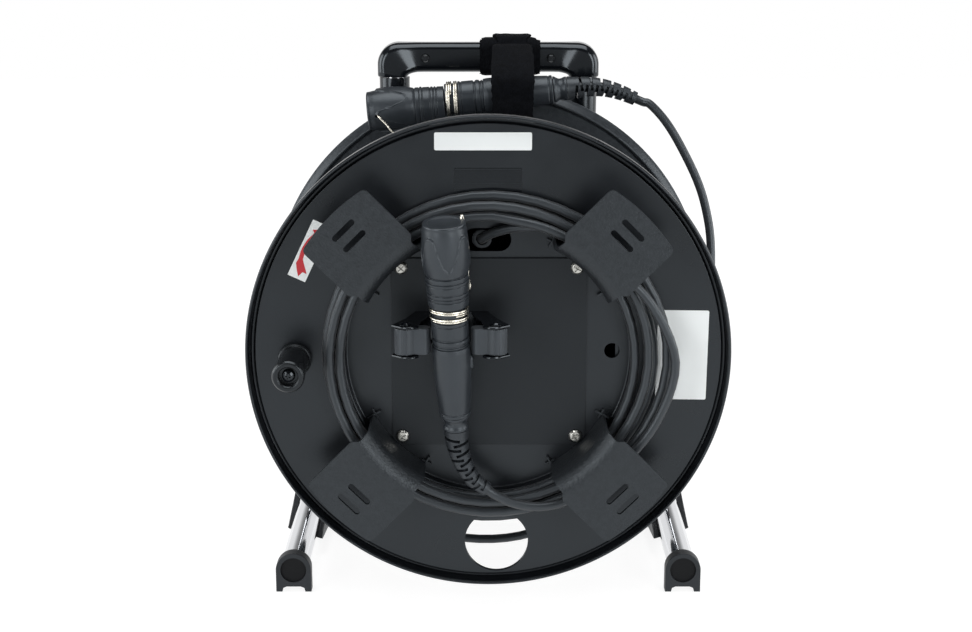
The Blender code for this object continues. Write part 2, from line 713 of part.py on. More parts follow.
def guards(pivot):
    """Four equal guards, a wall that bends outwards into a face plate."""
    wall = GUARD_INNER_RADIUS + GUARD_WALL / 2
    base = FLOOR_FRONT - GAP
    face = -GUARD_REACH + GUARD_WALL / 2
    bend = GUARD_BEND + GUARD_WALL / 2
    corner = arc((wall + bend, face + bend), bend, 180, 270, 4)
    profile = [(wall, base)] + corner + [(GUARD_OUTER_RADIUS, face)]
    plate_start = GUARD_INNER_RADIUS + GUARD_BEND
    shoulder = plate_start - (GUARD_WIDTH - GUARD_WALL_WIDTH) / 2
    half, narrow = GUARD_WIDTH / 2, GUARD_WALL_WIDTH / 2
    inside, outside = GUARD_INNER_RADIUS / 2, GUARD_OUTER_RADIUS + GUARD_WALL
    sides = [(inside, -narrow), (shoulder, -narrow), (plate_start, -half), (outside, -half),
             (outside, half), (plate_start, half), (shoulder, narrow), (inside, narrow)]
    for index, degrees in enumerate((45, 135, 225, 315), start=1):
        around = placed(0, 0, 0, ALONG_Y) @ Matrix.Rotation(-math.radians(degrees), 4, 'Z')
        mesh = bpy.data.meshes.new("guard_sheet")
        edges = [(i, i + 1) for i in range(len(profile) - 1)]
        mesh.from_pydata([(r, 0.0, h) for r, h in profile], edges, [])
        start = around @ Matrix.Rotation(-GUARD_SWEEP / 2, 4, 'Z')
        guard = add_object(f"guard_{index}", mesh, start)
        screw = guard.modifiers.new("Turn", 'SCREW')
        screw.angle = GUARD_SWEEP
        screw.steps = GUARD_STEPS
        screw.render_steps = GUARD_STEPS
        shell = guard.modifiers.new("Wall", 'SOLIDIFY')
        shell.thickness = GUARD_WALL
        shell.offset = 0.0
        shell.use_even_offset = True
        boolean(guard, outline("guard_sides", [sides], CUT_REACH, around), 'INTERSECT')
        for radius in SLOT_RADII:
            slot = outline("guard_slot", [oval_loop(SLOT_LENGTH, SLOT_WIDTH, 3)], 0.01,
                           around @ Matrix.Translation((radius, 0, face))
                           @ Matrix.Rotation(math.pi / 2, 4, 'Z'))
            cut(guard, slot)
        part(guard, "textured_black", pivot)


# Axle and bearings

def axle():
    tip = POCKET_FLOOR - GAP - BUSH_FLANGE - GAP - WASHER_THICKNESS - GAP
    groove_end = tip
    groove_start = groove_end - RING_THICKNESS - GAP
    groove = AXLE_RADIUS - RING_GROOVE
    start = groove_start - AXLE_TIP + 0.002
    profile = [(0.0, start), (AXLE_RADIUS, start), (AXLE_RADIUS, groove_start),
               (groove, groove_start), (groove, groove_end), (AXLE_RADIUS, groove_end),
               (AXLE_RADIUS, CROSSBAR_BACK + GAP), (AXLE_HEAD_RADIUS, CROSSBAR_BACK + GAP),
               (AXLE_HEAD_RADIUS, CROSSBAR_BACK + GAP + AXLE_HEAD_LENGTH),
               (0.0, CROSSBAR_BACK + GAP + AXLE_HEAD_LENGTH)]
    part(turned("axle", profile, placed(0, 0, 0, ALONG_Y)), "steel")
    ring = ring_profile(groove + GAP, RING_RADIUS, groove_start + GAP / 2,
                        groove_end - GAP / 2)
    part(turned("retaining_ring", ring, placed(0, 0, 0, ALONG_Y), SMALL_FACETS), "steel")
    washer = ring_profile(AXLE_RADIUS + SLIDE_FIT, BUSH_FLANGE_RADIUS, tip + GAP / 2,
                          tip + GAP / 2 + WASHER_THICKNESS)
    part(turned("axle_washer", washer, placed(0, 0, 0, ALONG_Y), SMALL_FACETS), "steel")
    spacer = ring_profile(AXLE_RADIUS + SLIDE_FIT, SPACER_RADIUS, REAR_BUSH_END + GAP,
                          CROSSBAR_FRONT - GAP)
    part(turned("axle_spacer", spacer, placed(0, 0, 0, ALONG_Y), SMALL_FACETS), "steel")


def bushes(pivot):
    inner = AXLE_RADIUS + SLIDE_FIT
    face = POCKET_FLOOR - GAP
    front = [(inner, face - BUSH_FLANGE), (BUSH_FLANGE_RADIUS, face - BUSH_FLANGE),
             (BUSH_FLANGE_RADIUS, face), (BUSH_RADIUS, face),
             (BUSH_RADIUS, POCKET_FLOOR + BOSS_LENGTH), (inner, POCKET_FLOOR + BOSS_LENGTH)]
    part(turned("bush_front", front, placed(0, 0, 0, ALONG_Y)), "bronze", pivot)
    face = RIM_SPACING + GAP
    rear = [(inner, RIM_SPACING - BOSS_LENGTH), (BUSH_RADIUS, RIM_SPACING - BOSS_LENGTH),
            (BUSH_RADIUS, face), (BUSH_FLANGE_RADIUS, face),
            (BUSH_FLANGE_RADIUS, REAR_BUSH_END), (inner, REAR_BUSH_END)]
    part(turned("bush_rear", rear, placed(0, 0, 0, ALONG_Y)), "bronze", pivot)


# Crank knob

def knob(drum_pivot, knob_pivot):
    x, z = KNOB_OFFSET
    base = WEB_SET_BACK - GAP
    tip = -KNOB_REACH
    recess = tip + KNOB_RECESS_DEPTH
    bore = SPINDLE_RADIUS + SLIDE_FIT
    grip = [(KNOB_RECESS_RADIUS, tip), (KNOB_RADIUS - KNOB_EDGE, tip),
            (KNOB_RADIUS - KNOB_EDGE * 0.3, tip + KNOB_EDGE * 0.3),
            (KNOB_RADIUS, tip + KNOB_EDGE), (KNOB_RADIUS, tip / 2),
            (KNOB_BASE_RADIUS, base - 0.002), (KNOB_BASE_RADIUS - 0.0006, base),
            (bore, base), (bore, recess), (KNOB_RECESS_RADIUS, recess)]
    part(turned("knob_grip", grip, placed(x, 0, z, ALONG_Y)), "satin_black", knob_pivot)
    head = recess - GAP
    nut = WEB_BACK + GAP
    spindle = [(0.0, head - SPINDLE_HEAD_HEIGHT),
               (SPINDLE_HEAD_RADIUS * 0.7, head - SPINDLE_HEAD_HEIGHT),
               (SPINDLE_HEAD_RADIUS, head - SPINDLE_HEAD_HEIGHT * 0.4),
               (SPINDLE_HEAD_RADIUS, head), (SPINDLE_RADIUS, head),
               (SPINDLE_RADIUS, nut + SPINDLE_NUT_HEIGHT + 0.001),
               (0.0, nut + SPINDLE_NUT_HEIGHT + 0.001)]
    part(turned("knob_spindle", spindle, placed(x, 0, z, ALONG_Y), SMALL_FACETS), "zinc",
         drum_pivot)
    ring = ring_profile(SPINDLE_RADIUS + HOLE_FIT, SPINDLE_NUT_RADIUS, nut,
                        nut + SPINDLE_NUT_HEIGHT)
    part(turned("knob_nut", ring, placed(x, 0, z, ALONG_Y), SMALL_FACETS), "zinc",
         drum_pivot)


# Stand

def frame_path(side, start, end_height):
    corners = [at(side * FOOT_SPREAD, start, FOOT_HEIGHT_FROM_AXLE),
               at(side * FOOT_SPREAD, UPRIGHT_DEPTH, FOOT_HEIGHT_FROM_AXLE),
               at(side * UPRIGHT_SPREAD, UPRIGHT_DEPTH, UPRIGHT_STRAIGHT),
               at(side * UPRIGHT_SPREAD, UPRIGHT_DEPTH, end_height)]
    return bent_path(corners, (FLOOR_BEND, SHOULDER_BEND), BEND_STEPS)


def upright_x(height):
    """Half spread of the uprights at a height from the axle."""
    share = (height - FOOT_HEIGHT_FROM_AXLE) / (UPRIGHT_STRAIGHT - FOOT_HEIGHT_FROM_AXLE)
    return FOOT_SPREAD + (UPRIGHT_SPREAD - FOOT_SPREAD) * share


def frame_tubes():
    start = FOOT_FRONT + CAP_RECESS_DEPTH + CAP_FLOOR + GAP
    for side, label in ((-1, "left"), (1, "right")):
        outer = tube(f"frame_tube_{label}", frame_path(side, start, SOCKET_TOP - GAP),
                     TUBE_RADIUS, 2)
        bore = tube("tube_bore", frame_path(side, start - 0.01, SOCKET_TOP + 0.01),
                    TUBE_RADIUS - TUBE_WALL, 2)
        hole = cylinder("rivet_hole", RIVET_RADIUS + HOLE_FIT, 0.04,
                        placed(side * upright_x(0), UPRIGHT_DEPTH - 0.02, 0, ALONG_Y), 12)
        cut(outer, bore, hole)
        part(outer, "chrome")


def foot_caps():
    """A short cap on each tube's front end, with a round recess and an arched base."""
    bottom = -FOOT_TUBE_HEIGHT
    half_arch = CAP_ARCH_WIDTH / 2
    arch = [(-half_arch, bottom), (-half_arch + 0.001, bottom + CAP_ARCH_HEIGHT * 0.75),
            (-half_arch + 0.003, bottom + CAP_ARCH_HEIGHT),
            (half_arch - 0.003, bottom + CAP_ARCH_HEIGHT),
            (half_arch - 0.001, bottom + CAP_ARCH_HEIGHT * 0.75), (half_arch, bottom)]
    loop = arc((0, 0), CAP_RADIUS, 0, 180, 12) + [(-CAP_RADIUS, bottom)] + arch
    loop.append((CAP_RADIUS, bottom))
    middle = FOOT_FRONT + CAP_LENGTH / 2
    for side, label in ((-1, "left"), (1, "right")):
        x = side * FOOT_SPREAD
        cap = outline(f"front_foot_{label}", [loop], CAP_LENGTH,
                      placed(x, middle, FOOT_HEIGHT_FROM_AXLE, FACING))
        recess = cylinder("cap_recess", CAP_RECESS_RADIUS, 0.01,
                          placed(x, FOOT_FRONT + CAP_RECESS_DEPTH - 0.01,
                                 FOOT_HEIGHT_FROM_AXLE, ALONG_Y))
        socket = cylinder("cap_socket", TUBE_RADIUS + GAP, 0.02,
                          placed(x, FOOT_FRONT + CAP_RECESS_DEPTH + CAP_FLOOR,
                                 FOOT_HEIGHT_FROM_AXLE, ALONG_Y))
        cut(cap, recess, socket)
        part(cap, "soft_black")


def rear_feet():
    """A shoe under each tube's rear bend, with two pointed noses beside the tube."""
    floor = -FOOT_TUBE_HEIGHT
    tip = floor + SHOE_NOSE_HEIGHT
    back = floor + SHOE_BACK_HEIGHT
    side_view = [(SHOE_NOSE, tip), (SHOE_NOSE + 0.010, tip - 0.0035),
                 (SHOE_SOLE_START - 0.012, floor + 0.003), (SHOE_SOLE_START, floor),
                 (SHOE_BACK, floor), (SHOE_BACK, back), (SHOE_BACK - 0.012, back + 0.004),
                 (SHOE_SOLE_START, tip + 0.006), (SHOE_NOSE + 0.010, tip + 0.002)]
    for side, label in ((-1, "left"), (1, "right")):
        x = side * FOOT_SPREAD
        shoe = outline(f"rear_foot_{label}", [side_view], SHOE_WIDTH,
                       placed(x, 0, FOOT_HEIGHT_FROM_AXLE, ALONG_X))
        for vertex in shoe.data.vertices:
            if vertex.co.x < SHOE_SOLE_START - 0.02:
                vertex.co.x += SHOE_SKEW * side * vertex.co.z
        seat = tube("shoe_seat", frame_path(side, FOOT_FRONT, SOCKET_TOP),
                    TUBE_RADIUS + GAP, 2)
        cut(shoe, seat)
        part(shoe, "soft_black")


def crossbar():
    bar = box("crossbar", (CROSSBAR_LENGTH, CROSSBAR_THICKNESS, CROSSBAR_HEIGHT),
              placed(0, (CROSSBAR_FRONT + CROSSBAR_BACK) / 2, 0))
    cut(bar, cylinder("axle_hole", AXLE_RADIUS + HOLE_FIT, 0.02,
                      placed(0, CROSSBAR_FRONT - 0.005, 0, ALONG_Y)))
    front = CROSSBAR_FRONT - GAP
    back = UPRIGHT_DEPTH + TUBE_RADIUS + GAP
    profile = [(0.0, front - RIVET_HEAD_HEIGHT),
               (RIVET_HEAD_RADIUS * 0.6, front - RIVET_HEAD_HEIGHT),
               (RIVET_HEAD_RADIUS, front), (RIVET_RADIUS, front), (RIVET_RADIUS, back),
               (RIVET_HEAD_RADIUS, back),
               (RIVET_HEAD_RADIUS * 0.6, back + RIVET_HEAD_HEIGHT),
               (0.0, back + RIVET_HEAD_HEIGHT)]
    for side, label in ((-1, "left"), (1, "right")):
        x = side * upright_x(0)
        cut(bar, cylinder("bar_hole", RIVET_RADIUS + HOLE_FIT, 0.02,
                          placed(x, CROSSBAR_FRONT - 0.005, 0, ALONG_Y), 12))
        rivet = turned(f"crossbar_rivet_{label}", profile, placed(x, 0, 0, ALONG_Y),
                       SMALL_FACETS)
        part(rivet, "steel")
    part(bar, "soft_black")


# Handle

def handle_outline():
    left = -HANDLE_HALF_SPAN
    right = HANDLE_HALF_SPAN
    top = HANDLE_TOP - HANDLE_CORNER
    ramp = HANDLE_LEG_INNER - HANDLE_RAMP
    return (arc((right - HANDLE_CORNER, top), HANDLE_CORNER, 0, 90, 3)
            + arc((left + HANDLE_CORNER, top), HANDLE_CORNER, 90, 180, 3)
            + [(left, HANDLE_LEG_BOTTOM), (-HANDLE_LEG_INNER, HANDLE_LEG_BOTTOM),
               (-ramp, HANDLE_UNDERSIDE), (ramp, HANDLE_UNDERSIDE),
               (HANDLE_LEG_INNER, HANDLE_LEG_BOTTOM), (right, HANDLE_LEG_BOTTOM)])


def handle_halves():
    """Two shells clamped round the tube tops by two screws."""
    screw_x = HANDLE_SCREW_SPACING / 2
    for label, side in (("front", -1), ("rear", 1)):
        half = outline(f"handle_{label}", [handle_outline()], HANDLE_DEPTH,
                       placed(0, UPRIGHT_DEPTH, 0, FACING), HANDLE_ROUND)
        keep = box("handle_half", (3 * CUT_REACH, CUT_REACH, CUT_REACH),
                   placed(0, UPRIGHT_DEPTH + side * (CUT_REACH + GAP) / 2, HANDLE_TOP))
        boolean(half, keep, 'INTERSECT')
        for x in (-UPRIGHT_SPREAD, UPRIGHT_SPREAD):
            cut(half, cylinder("socket", TUBE_RADIUS + GAP, 0.05,
                               placed(x, UPRIGHT_DEPTH, SOCKET_TOP - 0.05), 16))
        for x in (-screw_x, screw_x):
            cut(half, cylinder("screw_bore", HANDLE_SCREW_RADIUS + HOLE_FIT, 0.022,
                               placed(x, HANDLE_FRONT - 0.002, HANDLE_SCREW_HEIGHT,
                                      ALONG_Y), 10))
            if label == "front":
                cut(half, cylinder("screw_recess", HANDLE_RECESS_RADIUS, 0.01,
                                   placed(x, HANDLE_FRONT + HANDLE_RECESS_DEPTH - 0.01,
                                          HANDLE_SCREW_HEIGHT, ALONG_Y), SMALL_FACETS))
        part(half, "gloss_black")
    head = HANDLE_FRONT + HANDLE_RECESS_DEPTH - GAP
    end = HANDLE_FRONT + 0.0195
    profile = [(0.0, head - HANDLE_HEAD_HEIGHT),
               (HANDLE_HEAD_RADIUS * 0.7, head - HANDLE_HEAD_HEIGHT),
               (HANDLE_HEAD_RADIUS, head - HANDLE_HEAD_HEIGHT * 0.4),
               (HANDLE_HEAD_RADIUS, head), (HANDLE_SCREW_RADIUS, head),
               (HANDLE_SCREW_RADIUS, end), (0.0, end)]
    for label, x in (("left", -screw_x), ("right", screw_x)):
        screw = turned(f"handle_screw_{label}", profile,
                       placed(x, 0, HANDLE_SCREW_HEIGHT, ALONG_Y), SMALL_FACETS)
        part(screw, "zinc")


# Strap

def band(name, path, thickness, width, centre):
    """A closed strip of cloth that follows a loop in the YZ plane."""
    outer, inner = [], []
    count = len(path)
    for index, point in enumerate(path):
        run = path[(index + 1) % count] - path[index - 1]
        normal = Vector((run.y, -run.x)).normalized()
        outer.append(tuple(point + normal * thickness / 2))
        inner.append(tuple(point - normal * thickness / 2))
    return outline(name, [outer, inner], width, placed(centre, 0, 0, ALONG_X))


def strap():
    """Wraps round the handle bar, and a loop that hangs the outer connector from it."""
    clear = GAP
    front = HANDLE_FRONT - clear
    back = HANDLE_BACK + clear
    top = HANDLE_TOP + clear
    bottom = HANDLE_UNDERSIDE - clear
    inner = rounded_loop(front, back, bottom, top, HANDLE_ROUND, 2)
    outer = rounded_loop(front - WRAP_SIDE, back + WRAP_SIDE, bottom - WRAP_BOTTOM,
                         top + WRAP_TOP, HANDLE_ROUND + 2 * WRAP_SIDE, 3)
    wrap = outline("strap_wrap", [outer, inner], WRAP_WIDTH,
                   placed(WRAP_CENTRE, 0, 0, ALONG_X))
    part(wrap, "strap_black")
    half = STRAP_THICKNESS / 2 + GAP
    over = top + WRAP_TOP + half
    before = front - WRAP_SIDE - half
    behind = back + WRAP_SIDE + half
    under = bottom - WRAP_BOTTOM - half - 0.0006
    middle = OUTER_CONNECTOR_TOP[1]
    height = OUTER_CONNECTOR_TOP[2] + OUTER_CONNECTOR_SLOPE * (
        STRAP_CENTRE - OUTER_CONNECTOR_TOP[0])
    reach = CONNECTOR_RADIUS + half + OUTER_CONNECTOR_SLOPE * STRAP_WIDTH / 2 + GAP
    path = [(behind - 0.005, over), (before + 0.005, over), (before, over - 0.006),
            (before - 0.012, height + 0.030), (middle - reach + 0.0006, height + 0.014),
            (middle - reach, height), (middle - reach * 0.72, height - reach * 0.72),
            (middle, height - reach), (middle + reach * 0.72, height - reach * 0.72),
            (middle + reach, height), (middle + reach + 0.0002, under - 0.003),
            (middle + reach + 0.004, under), (behind - 0.006, under),
            (behind, under + 0.006), (behind, over - 0.006)]
    loop = band("strap_loop", smooth(path, 2, closed=True), STRAP_THICKNESS, STRAP_WIDTH,
                STRAP_CENTRE)
    part(loop, "strap_black")


def rounded_loop(left, right, bottom, top, radius, steps):
    return (arc((right - radius, top - radius), radius, 0, 90, steps)
            + arc((left + radius, top - radius), radius, 90, 180, steps)
            + arc((left + radius, bottom + radius), radius, 180, 270, steps)
            + arc((right - radius, bottom + radius), radius, 270, 360, steps))


# Connectors

def connector(prefix, place, boot_path, wire_path, pivot=None, cap_drop=0.0):
    """Dust cap, body, collar, lanyard and slotted boot along a place's own Z axis."""
    cap_place = Matrix.Translation((0, 0, -cap_drop)) @ place
    part(turned(f"{prefix}_cap", DUST_CAP_PROFILE, cap_place), "soft_black", pivot)
    body = turned(f"{prefix}_body", BODY_PROFILE, place)
    lug = box("thumb_lug", (THUMB_LUG_REACH, 0.010, THUMB_LUG_LENGTH),
              place @ Matrix.Translation((THUMB_LUG_REACH / 2, 0,
                                          THUMB_LUG_START + THUMB_LUG_LENGTH / 2)), 0.0025)
    join(body, lug)
    part(body, "soft_black", pivot)
    part(turned(f"{prefix}_collar", COLLAR_PROFILE, place), "soft_black", pivot)
    ring = ring_profile(LANYARD_RING_INNER, LANYARD_RING_OUTER, LANYARD_RING_START,
                        LANYARD_RING_START + LANYARD_RING_HEIGHT)
    part(turned(f"{prefix}_lanyard_ring", ring, place), "steel", pivot)
    part(tube(f"{prefix}_lanyard_wire", wire_path, WIRE_RADIUS, 1), "steel", pivot)
    boot(prefix, boot_path, pivot)


def boot(prefix, path, pivot):
    """A tapered strain relief whose slots cross from one side and then the other."""
    points = smooth(path, 2)
    count = len(points) - 1
    end_share = BOOT_END_RADIUS / BOOT_START_RADIUS
    taper = [1.0 + (end_share - 1.0) * i / count for i in range(count + 1)]
    shape = tube(f"{prefix}_boot", points, BOOT_START_RADIUS, 2, taper)
    for index in range(BOOT_SLOTS):
        station = (index + 1.2) / (BOOT_SLOTS + 1) * count
        whole = int(station)
        centre = points[whole].lerp(points[whole + 1], station - whole)
        run = (points[whole + 1] - points[whole]).normalized()
        across = run.cross(Vector((0, 1, 0))).normalized()
        facing = across.cross(run)
        tilt = 1 if index % 2 else -1
        out = (facing + across * tilt).normalized()
        for way in (out, -out):
            deep = BOOT_START_RADIUS
            basis = Matrix((way, run.cross(way), run)).transposed().to_4x4()
            middle = centre + way * (BOOT_CORE_RADIUS + deep / 2)
            cut(shape, box("boot_slot", (deep, 4 * deep, BOOT_SLOT_WIDTH),
                           Matrix.Translation(middle) @ basis))
    part(shape, "soft_black", pivot)


def connector_place(top, run):
    """Where a connector stands: its top, with its own Z along the run and its X level."""
    run = Vector(run).normalized()
    across = run.cross(Vector((0, 1, 0))).normalized()
    basis = Matrix((across, run.cross(across), run)).transposed().to_4x4()
    return Matrix.Translation(at(*top)) @ basis


INNER_BOOT_PATH = ((0.0008, 0.0015, -0.0115), (0.0040, 0.0027, -0.0231),
                   (0.0102, 0.0037, -0.0350), (0.0194, 0.0047, -0.0426))
OUTER_BOOT_PATH = ((0.0130, 0.0, 0.0011), (0.0245, 0.0, 0.0005),
                   (0.0363, 0.0, -0.0026), (0.0472, -0.0005, -0.0071))
BOOT_STRAIGHT = 0.004


def boot_points(place, offsets):
    start = place @ Vector((0, 0, COLLAR_END + GAP))
    straight_end = place @ Vector((0, 0, COLLAR_END + GAP + BOOT_STRAIGHT))
    return [start, straight_end] + [start + Vector(offset) for offset in offsets]


def inner_connector(pivot):
    place = connector_place(INNER_CONNECTOR_TOP, INNER_CONNECTOR_RUN)
    boot_path = boot_points(place, INNER_BOOT_PATH)
    route = ((0.0128, 0.0035, 0.0570), (0.0140, 0.0030, 0.0490), (0.0147, 0.0010, 0.0400),
             (0.0155, -0.0030, 0.0310), (0.0158, -0.0052, 0.0200),
             (0.0155, -0.0055, 0.0080), (0.0146, -0.0045, 0.0005))
    wire = [place @ Vector(point) for point in route]
    connector("inner", place, boot_path, wire, pivot)
    return boot_path[-1], boot_path[-1] - boot_path[-2]


def outer_connector():
    place = connector_place(OUTER_CONNECTOR_TOP, (1, 0, OUTER_CONNECTOR_SLOPE))
    boot_path = boot_points(place, OUTER_BOOT_PATH)
    route = ((0.0078, -0.0166, -0.0013), (0.0128, -0.0166, -0.0083),
             (0.0188, -0.0164, -0.0163), (0.0278, -0.0130, -0.0210),
             (0.0393, -0.0090, -0.0210), (0.0505, -0.0075, -0.0135),
             (0.0565, -0.0055, -0.0072))
    wire = [at(*OUTER_CONNECTOR_TOP) + Vector(point) for point in route]
    connector("outer", place, boot_path, wire, cap_drop=OUTER_CAP_DROP)
    return boot_path[-1], boot_path[-1] - boot_path[-2]


# Clip for the inner connector

def clip(drum_pivot, jaw_pivots):
    """A bracket behind the connector, with a rubber jaw on a pin at each side."""
    x = CLIP_CENTRE_X
    middle_z = (CLIP_JAW_BOTTOM + CLIP_JAW_TOP) / 2
    arm_gap = CLIP_JAW_TOP - CLIP_JAW_BOTTOM + 2 * GAP
    web_back = COVER_FRONT - GAP
    web_front = web_back - CLIP_WEB_THICKNESS
    bracket = box("clip_bracket", (2 * CLIP_PIN_SPREAD + 0.004, CLIP_WEB_THICKNESS,
                                   arm_gap + 2 * CLIP_ARM),
                  placed(x, web_back - CLIP_WEB_THICKNESS / 2, middle_z))
    for side in (-1, 1):
        pin = (side * CLIP_PIN_SPREAD, CLIP_PIN_Y)
        root = side * CLIP_WEB_SPREAD
        start, end = (100, 280) if side < 0 else (260, 440)
        lobe = arc(pin, CLIP_LOBE_RADIUS, start, end, 6)
        base = web_front + 0.001
        feet = [(root - side * 0.004, base), (root + side * 0.008, base)]
        loop = lobe + feet[::-side]
        for height in (middle_z - arm_gap / 2 - CLIP_ARM / 2,
                       middle_z + arm_gap / 2 + CLIP_ARM / 2):
            arm = outline("clip_arm", [loop], CLIP_ARM, placed(x, 0, height))
            join(bracket, arm)
            cut(bracket, cylinder("clip_hole", CLIP_PIN_RADIUS + HOLE_FIT, 0.01,
                                  placed(x + pin[0], pin[1], height - 0.005), 10))
    part(bracket, "gloss_black", drum_pivot)
    top = CLIP_JAW_TOP + 2 * GAP + CLIP_ARM
    bottom = CLIP_JAW_BOTTOM - 2 * GAP - CLIP_ARM
    rivet = [(0.0, top + CLIP_PIN_HEAD_HEIGHT), (CLIP_PIN_HEAD * 0.6, top + CLIP_PIN_HEAD_HEIGHT),
             (CLIP_PIN_HEAD, top), (CLIP_PIN_RADIUS, top), (CLIP_PIN_RADIUS, bottom),
             (CLIP_PIN_HEAD, bottom), (CLIP_PIN_HEAD * 0.6, bottom - CLIP_PIN_HEAD_HEIGHT),
             (0.0, bottom - CLIP_PIN_HEAD_HEIGHT)]
    for label, side in (("left", -1), ("right", 1)):
        pin_x = x + side * CLIP_PIN_SPREAD
        pin = turned(f"clip_pin_{label}", rivet, placed(pin_x, CLIP_PIN_Y, 0), SMALL_FACETS)
        part(pin, "steel", drum_pivot)
        jaw(label, side, jaw_pivots[label])


def jaw(label, side, pivot):
    """A two-lobed rubber jaw that swings on its pin."""
    x = CLIP_CENTRE_X
    height = CLIP_JAW_TOP - CLIP_JAW_BOTTOM
    middle_z = (CLIP_JAW_BOTTOM + CLIP_JAW_TOP) / 2
    pin = (side * CLIP_PIN_SPREAD, CLIP_PIN_Y)
    inner = (side * CLIP_INNER_LOBE_SPREAD, CLIP_PIN_Y)
    turn = 0 if side < 0 else 180
    waist = CLIP_INNER_LOBE_RADIUS * 0.86
    neck = pin[0] - side * CLIP_LOBE_RADIUS * 0.72
    loop = (arc(pin, CLIP_LOBE_RADIUS - 0.0004, turn + 50, turn + 310, 8)
            + [(neck, CLIP_PIN_Y - (waist if side < 0 else -waist))]
            + arc(inner, CLIP_INNER_LOBE_RADIUS - GAP, turn - 75, turn + 75, 4)
            + [(neck, CLIP_PIN_Y + (waist if side < 0 else -waist))])
    shape = outline(f"clip_jaw_{label}", [loop], height, placed(x, 0, middle_z))
    cut(shape, cylinder("jaw_bore", CLIP_PIN_RADIUS + SLIDE_FIT, 0.04,
                        placed(x + pin[0], CLIP_PIN_Y, middle_z - 0.02), 12))
    part(shape, "jaw_grey", pivot)


# Leads

def coil_point(turns, back_layer, front_layer):
    """A point of the coil: out in the back layer, then in again in the front one."""
    start_angle = math.radians(58)
    angle = start_angle - 2 * math.pi * turns
    climb = min(1.0, max(0.0, (turns - COIL_OUT_TURNS + 0.25) / 0.5))
    depth = back_layer + (front_layer - back_layer) * climb * climb * (3 - 2 * climb)
    wound = COIL_PITCH * (COIL_OUT_TURNS - abs(turns - COIL_OUT_TURNS))
    wrapped = math.atan2(math.sin(angle), math.cos(angle))
    bulge = COIL_SPREAD * math.exp(-(wrapped / COIL_SPREAD_WIDTH) ** 2)
    radius = COIL_INNER_RADIUS + wound * (1 + bulge)
    return at(radius * math.cos(angle), depth, radius * math.sin(angle))


def inner_lead(boot_end, boot_run, pivot):
    """From the clamp behind the floor, round the guards, and back to the boot."""
    back_layer = WEB_SET_BACK - CABLE_RADIUS - 2 * GAP
    front_layer = back_layer - COIL_LAYER_RISE
    top = front_layer - COIL_LAYER_RISE
    x, z = GLAND_OFFSET
    tail = (at(x, FLOOR_BACK + GAP + GLAND_LENGTH, z),
            at(x, FLOOR_BACK + GLAND_LENGTH / 2, z), at(x, FLOOR_BACK + GAP, z),
            at(x + 0.0014, FLOOR_FRONT + 0.0004, z + 0.0014),
            at(x + 0.0065, FLOOR_FRONT - 0.0035, z + 0.0050),
            at(x + 0.0160, FLOOR_FRONT - 0.0068, z + 0.0083),
            at(x + 0.0265, FLOOR_FRONT - 0.0096, z + 0.0102),
            at(x + 0.0385, back_layer, z + 0.0100))
    steps = int((COIL_OUT_TURNS + COIL_IN_TURNS) * COIL_POINTS)
    coil = [coil_point(index / COIL_POINTS, back_layer, front_layer)
            for index in range(steps + 1)]
    run = boot_run.normalized()
    straight = [boot_end + run * 2 * CABLE_RADIUS, boot_end + run * GAP]
    away = ((68, 0.0925, -0.0085), (52, 0.0945, top + 0.0010), (37, 0.0995, top),
            (20, 0.1090, top), (0, 0.1180, top), (-20, 0.1140, top), (-40, 0.1085, top),
            (-58, 0.1056, top), (-69, 0.1030, top), (-79.5, 0.0960, top))
    over = [at(radius * math.cos(math.radians(a)), depth, radius * math.sin(math.radians(a)))
            for a, radius, depth in away]
    front = smooth([coil[-1]] + over + straight[:1], 2)
    points = smooth(tail, 2) + coil + front[1:] + straight[1:]
    print("inner lead length", length_of(points))
    print("inner lead self gap", least_self_gap(points, CABLE_RADIUS))
    part(tube("inner_lead", points, CABLE_RADIUS, 1), "cable_black", pivot)
    ring = ring_profile(CABLE_RADIUS + 2 * GAP, GLAND_RADIUS, 0.0, GLAND_LENGTH)
    place = placed(x, FLOOR_BACK + GAP, z, ALONG_Y)
    part(turned("lead_gland", ring, place, SMALL_FACETS), "soft_black", pivot)


def outer_lead(boot_end, boot_run):
    """From the boot down the right side, under the pack and up into its own lane.

    A free point's depth is its share of the way from the lane to the connector.
    """
    run = boot_run.normalized()
    lane = lane_y()
    circle = (CORE_RADIUS + GAP) / math.cos(math.pi / DRUM_FACETS) + CABLE_RADIUS + GAP
    free = ((0.1122, 0.965, 0.1440), (0.1224, 0.916, 0.1331), (0.1327, 0.875, 0.1169),
            (0.1445, 0.805, 0.0933), (0.1508, 0.735, 0.0731), (0.1540, 0.651, 0.0500),
            (0.1530, 0.554, 0.0180), (0.1450, 0.456, -0.0200), (0.1290, 0.345, -0.0620),
            (0.1030, 0.247, -0.1000), (0.0660, 0.163, -0.1310), (0.0220, 0.093, -0.1490),
            (-0.0250, 0.052, -0.1480), (-0.0680, 0.024, -0.1290),
            (-0.1000, 0.007, -0.0930), (-0.1150, 0.003, -0.0480))
    start = [boot_end + run * GAP, boot_end + run * 2 * CABLE_RADIUS]
    depth = OUTER_CONNECTOR_TOP[1] - lane
    path = smooth(start[1:] + [at(x, lane + share * depth, z) for x, share, z in free], 2)
    lay = []
    for degrees in range(180, 14, -15):
        angle = math.radians(degrees)
        lay.append(at(circle * math.cos(angle), lane, circle * math.sin(angle)))
    points = start[:1] + path + lay
    print("outer lead length", length_of(points))
    print("outer lead self gap", least_self_gap(points, CABLE_RADIUS))
    part(tube("outer_lead", points, CABLE_RADIUS, 2), "cable_black")


def pivot_empty(name, place):
    empty = bpy.data.objects.new(name, None)
    empty.location = place
    PARTS.objects.link(empty)
    return empty


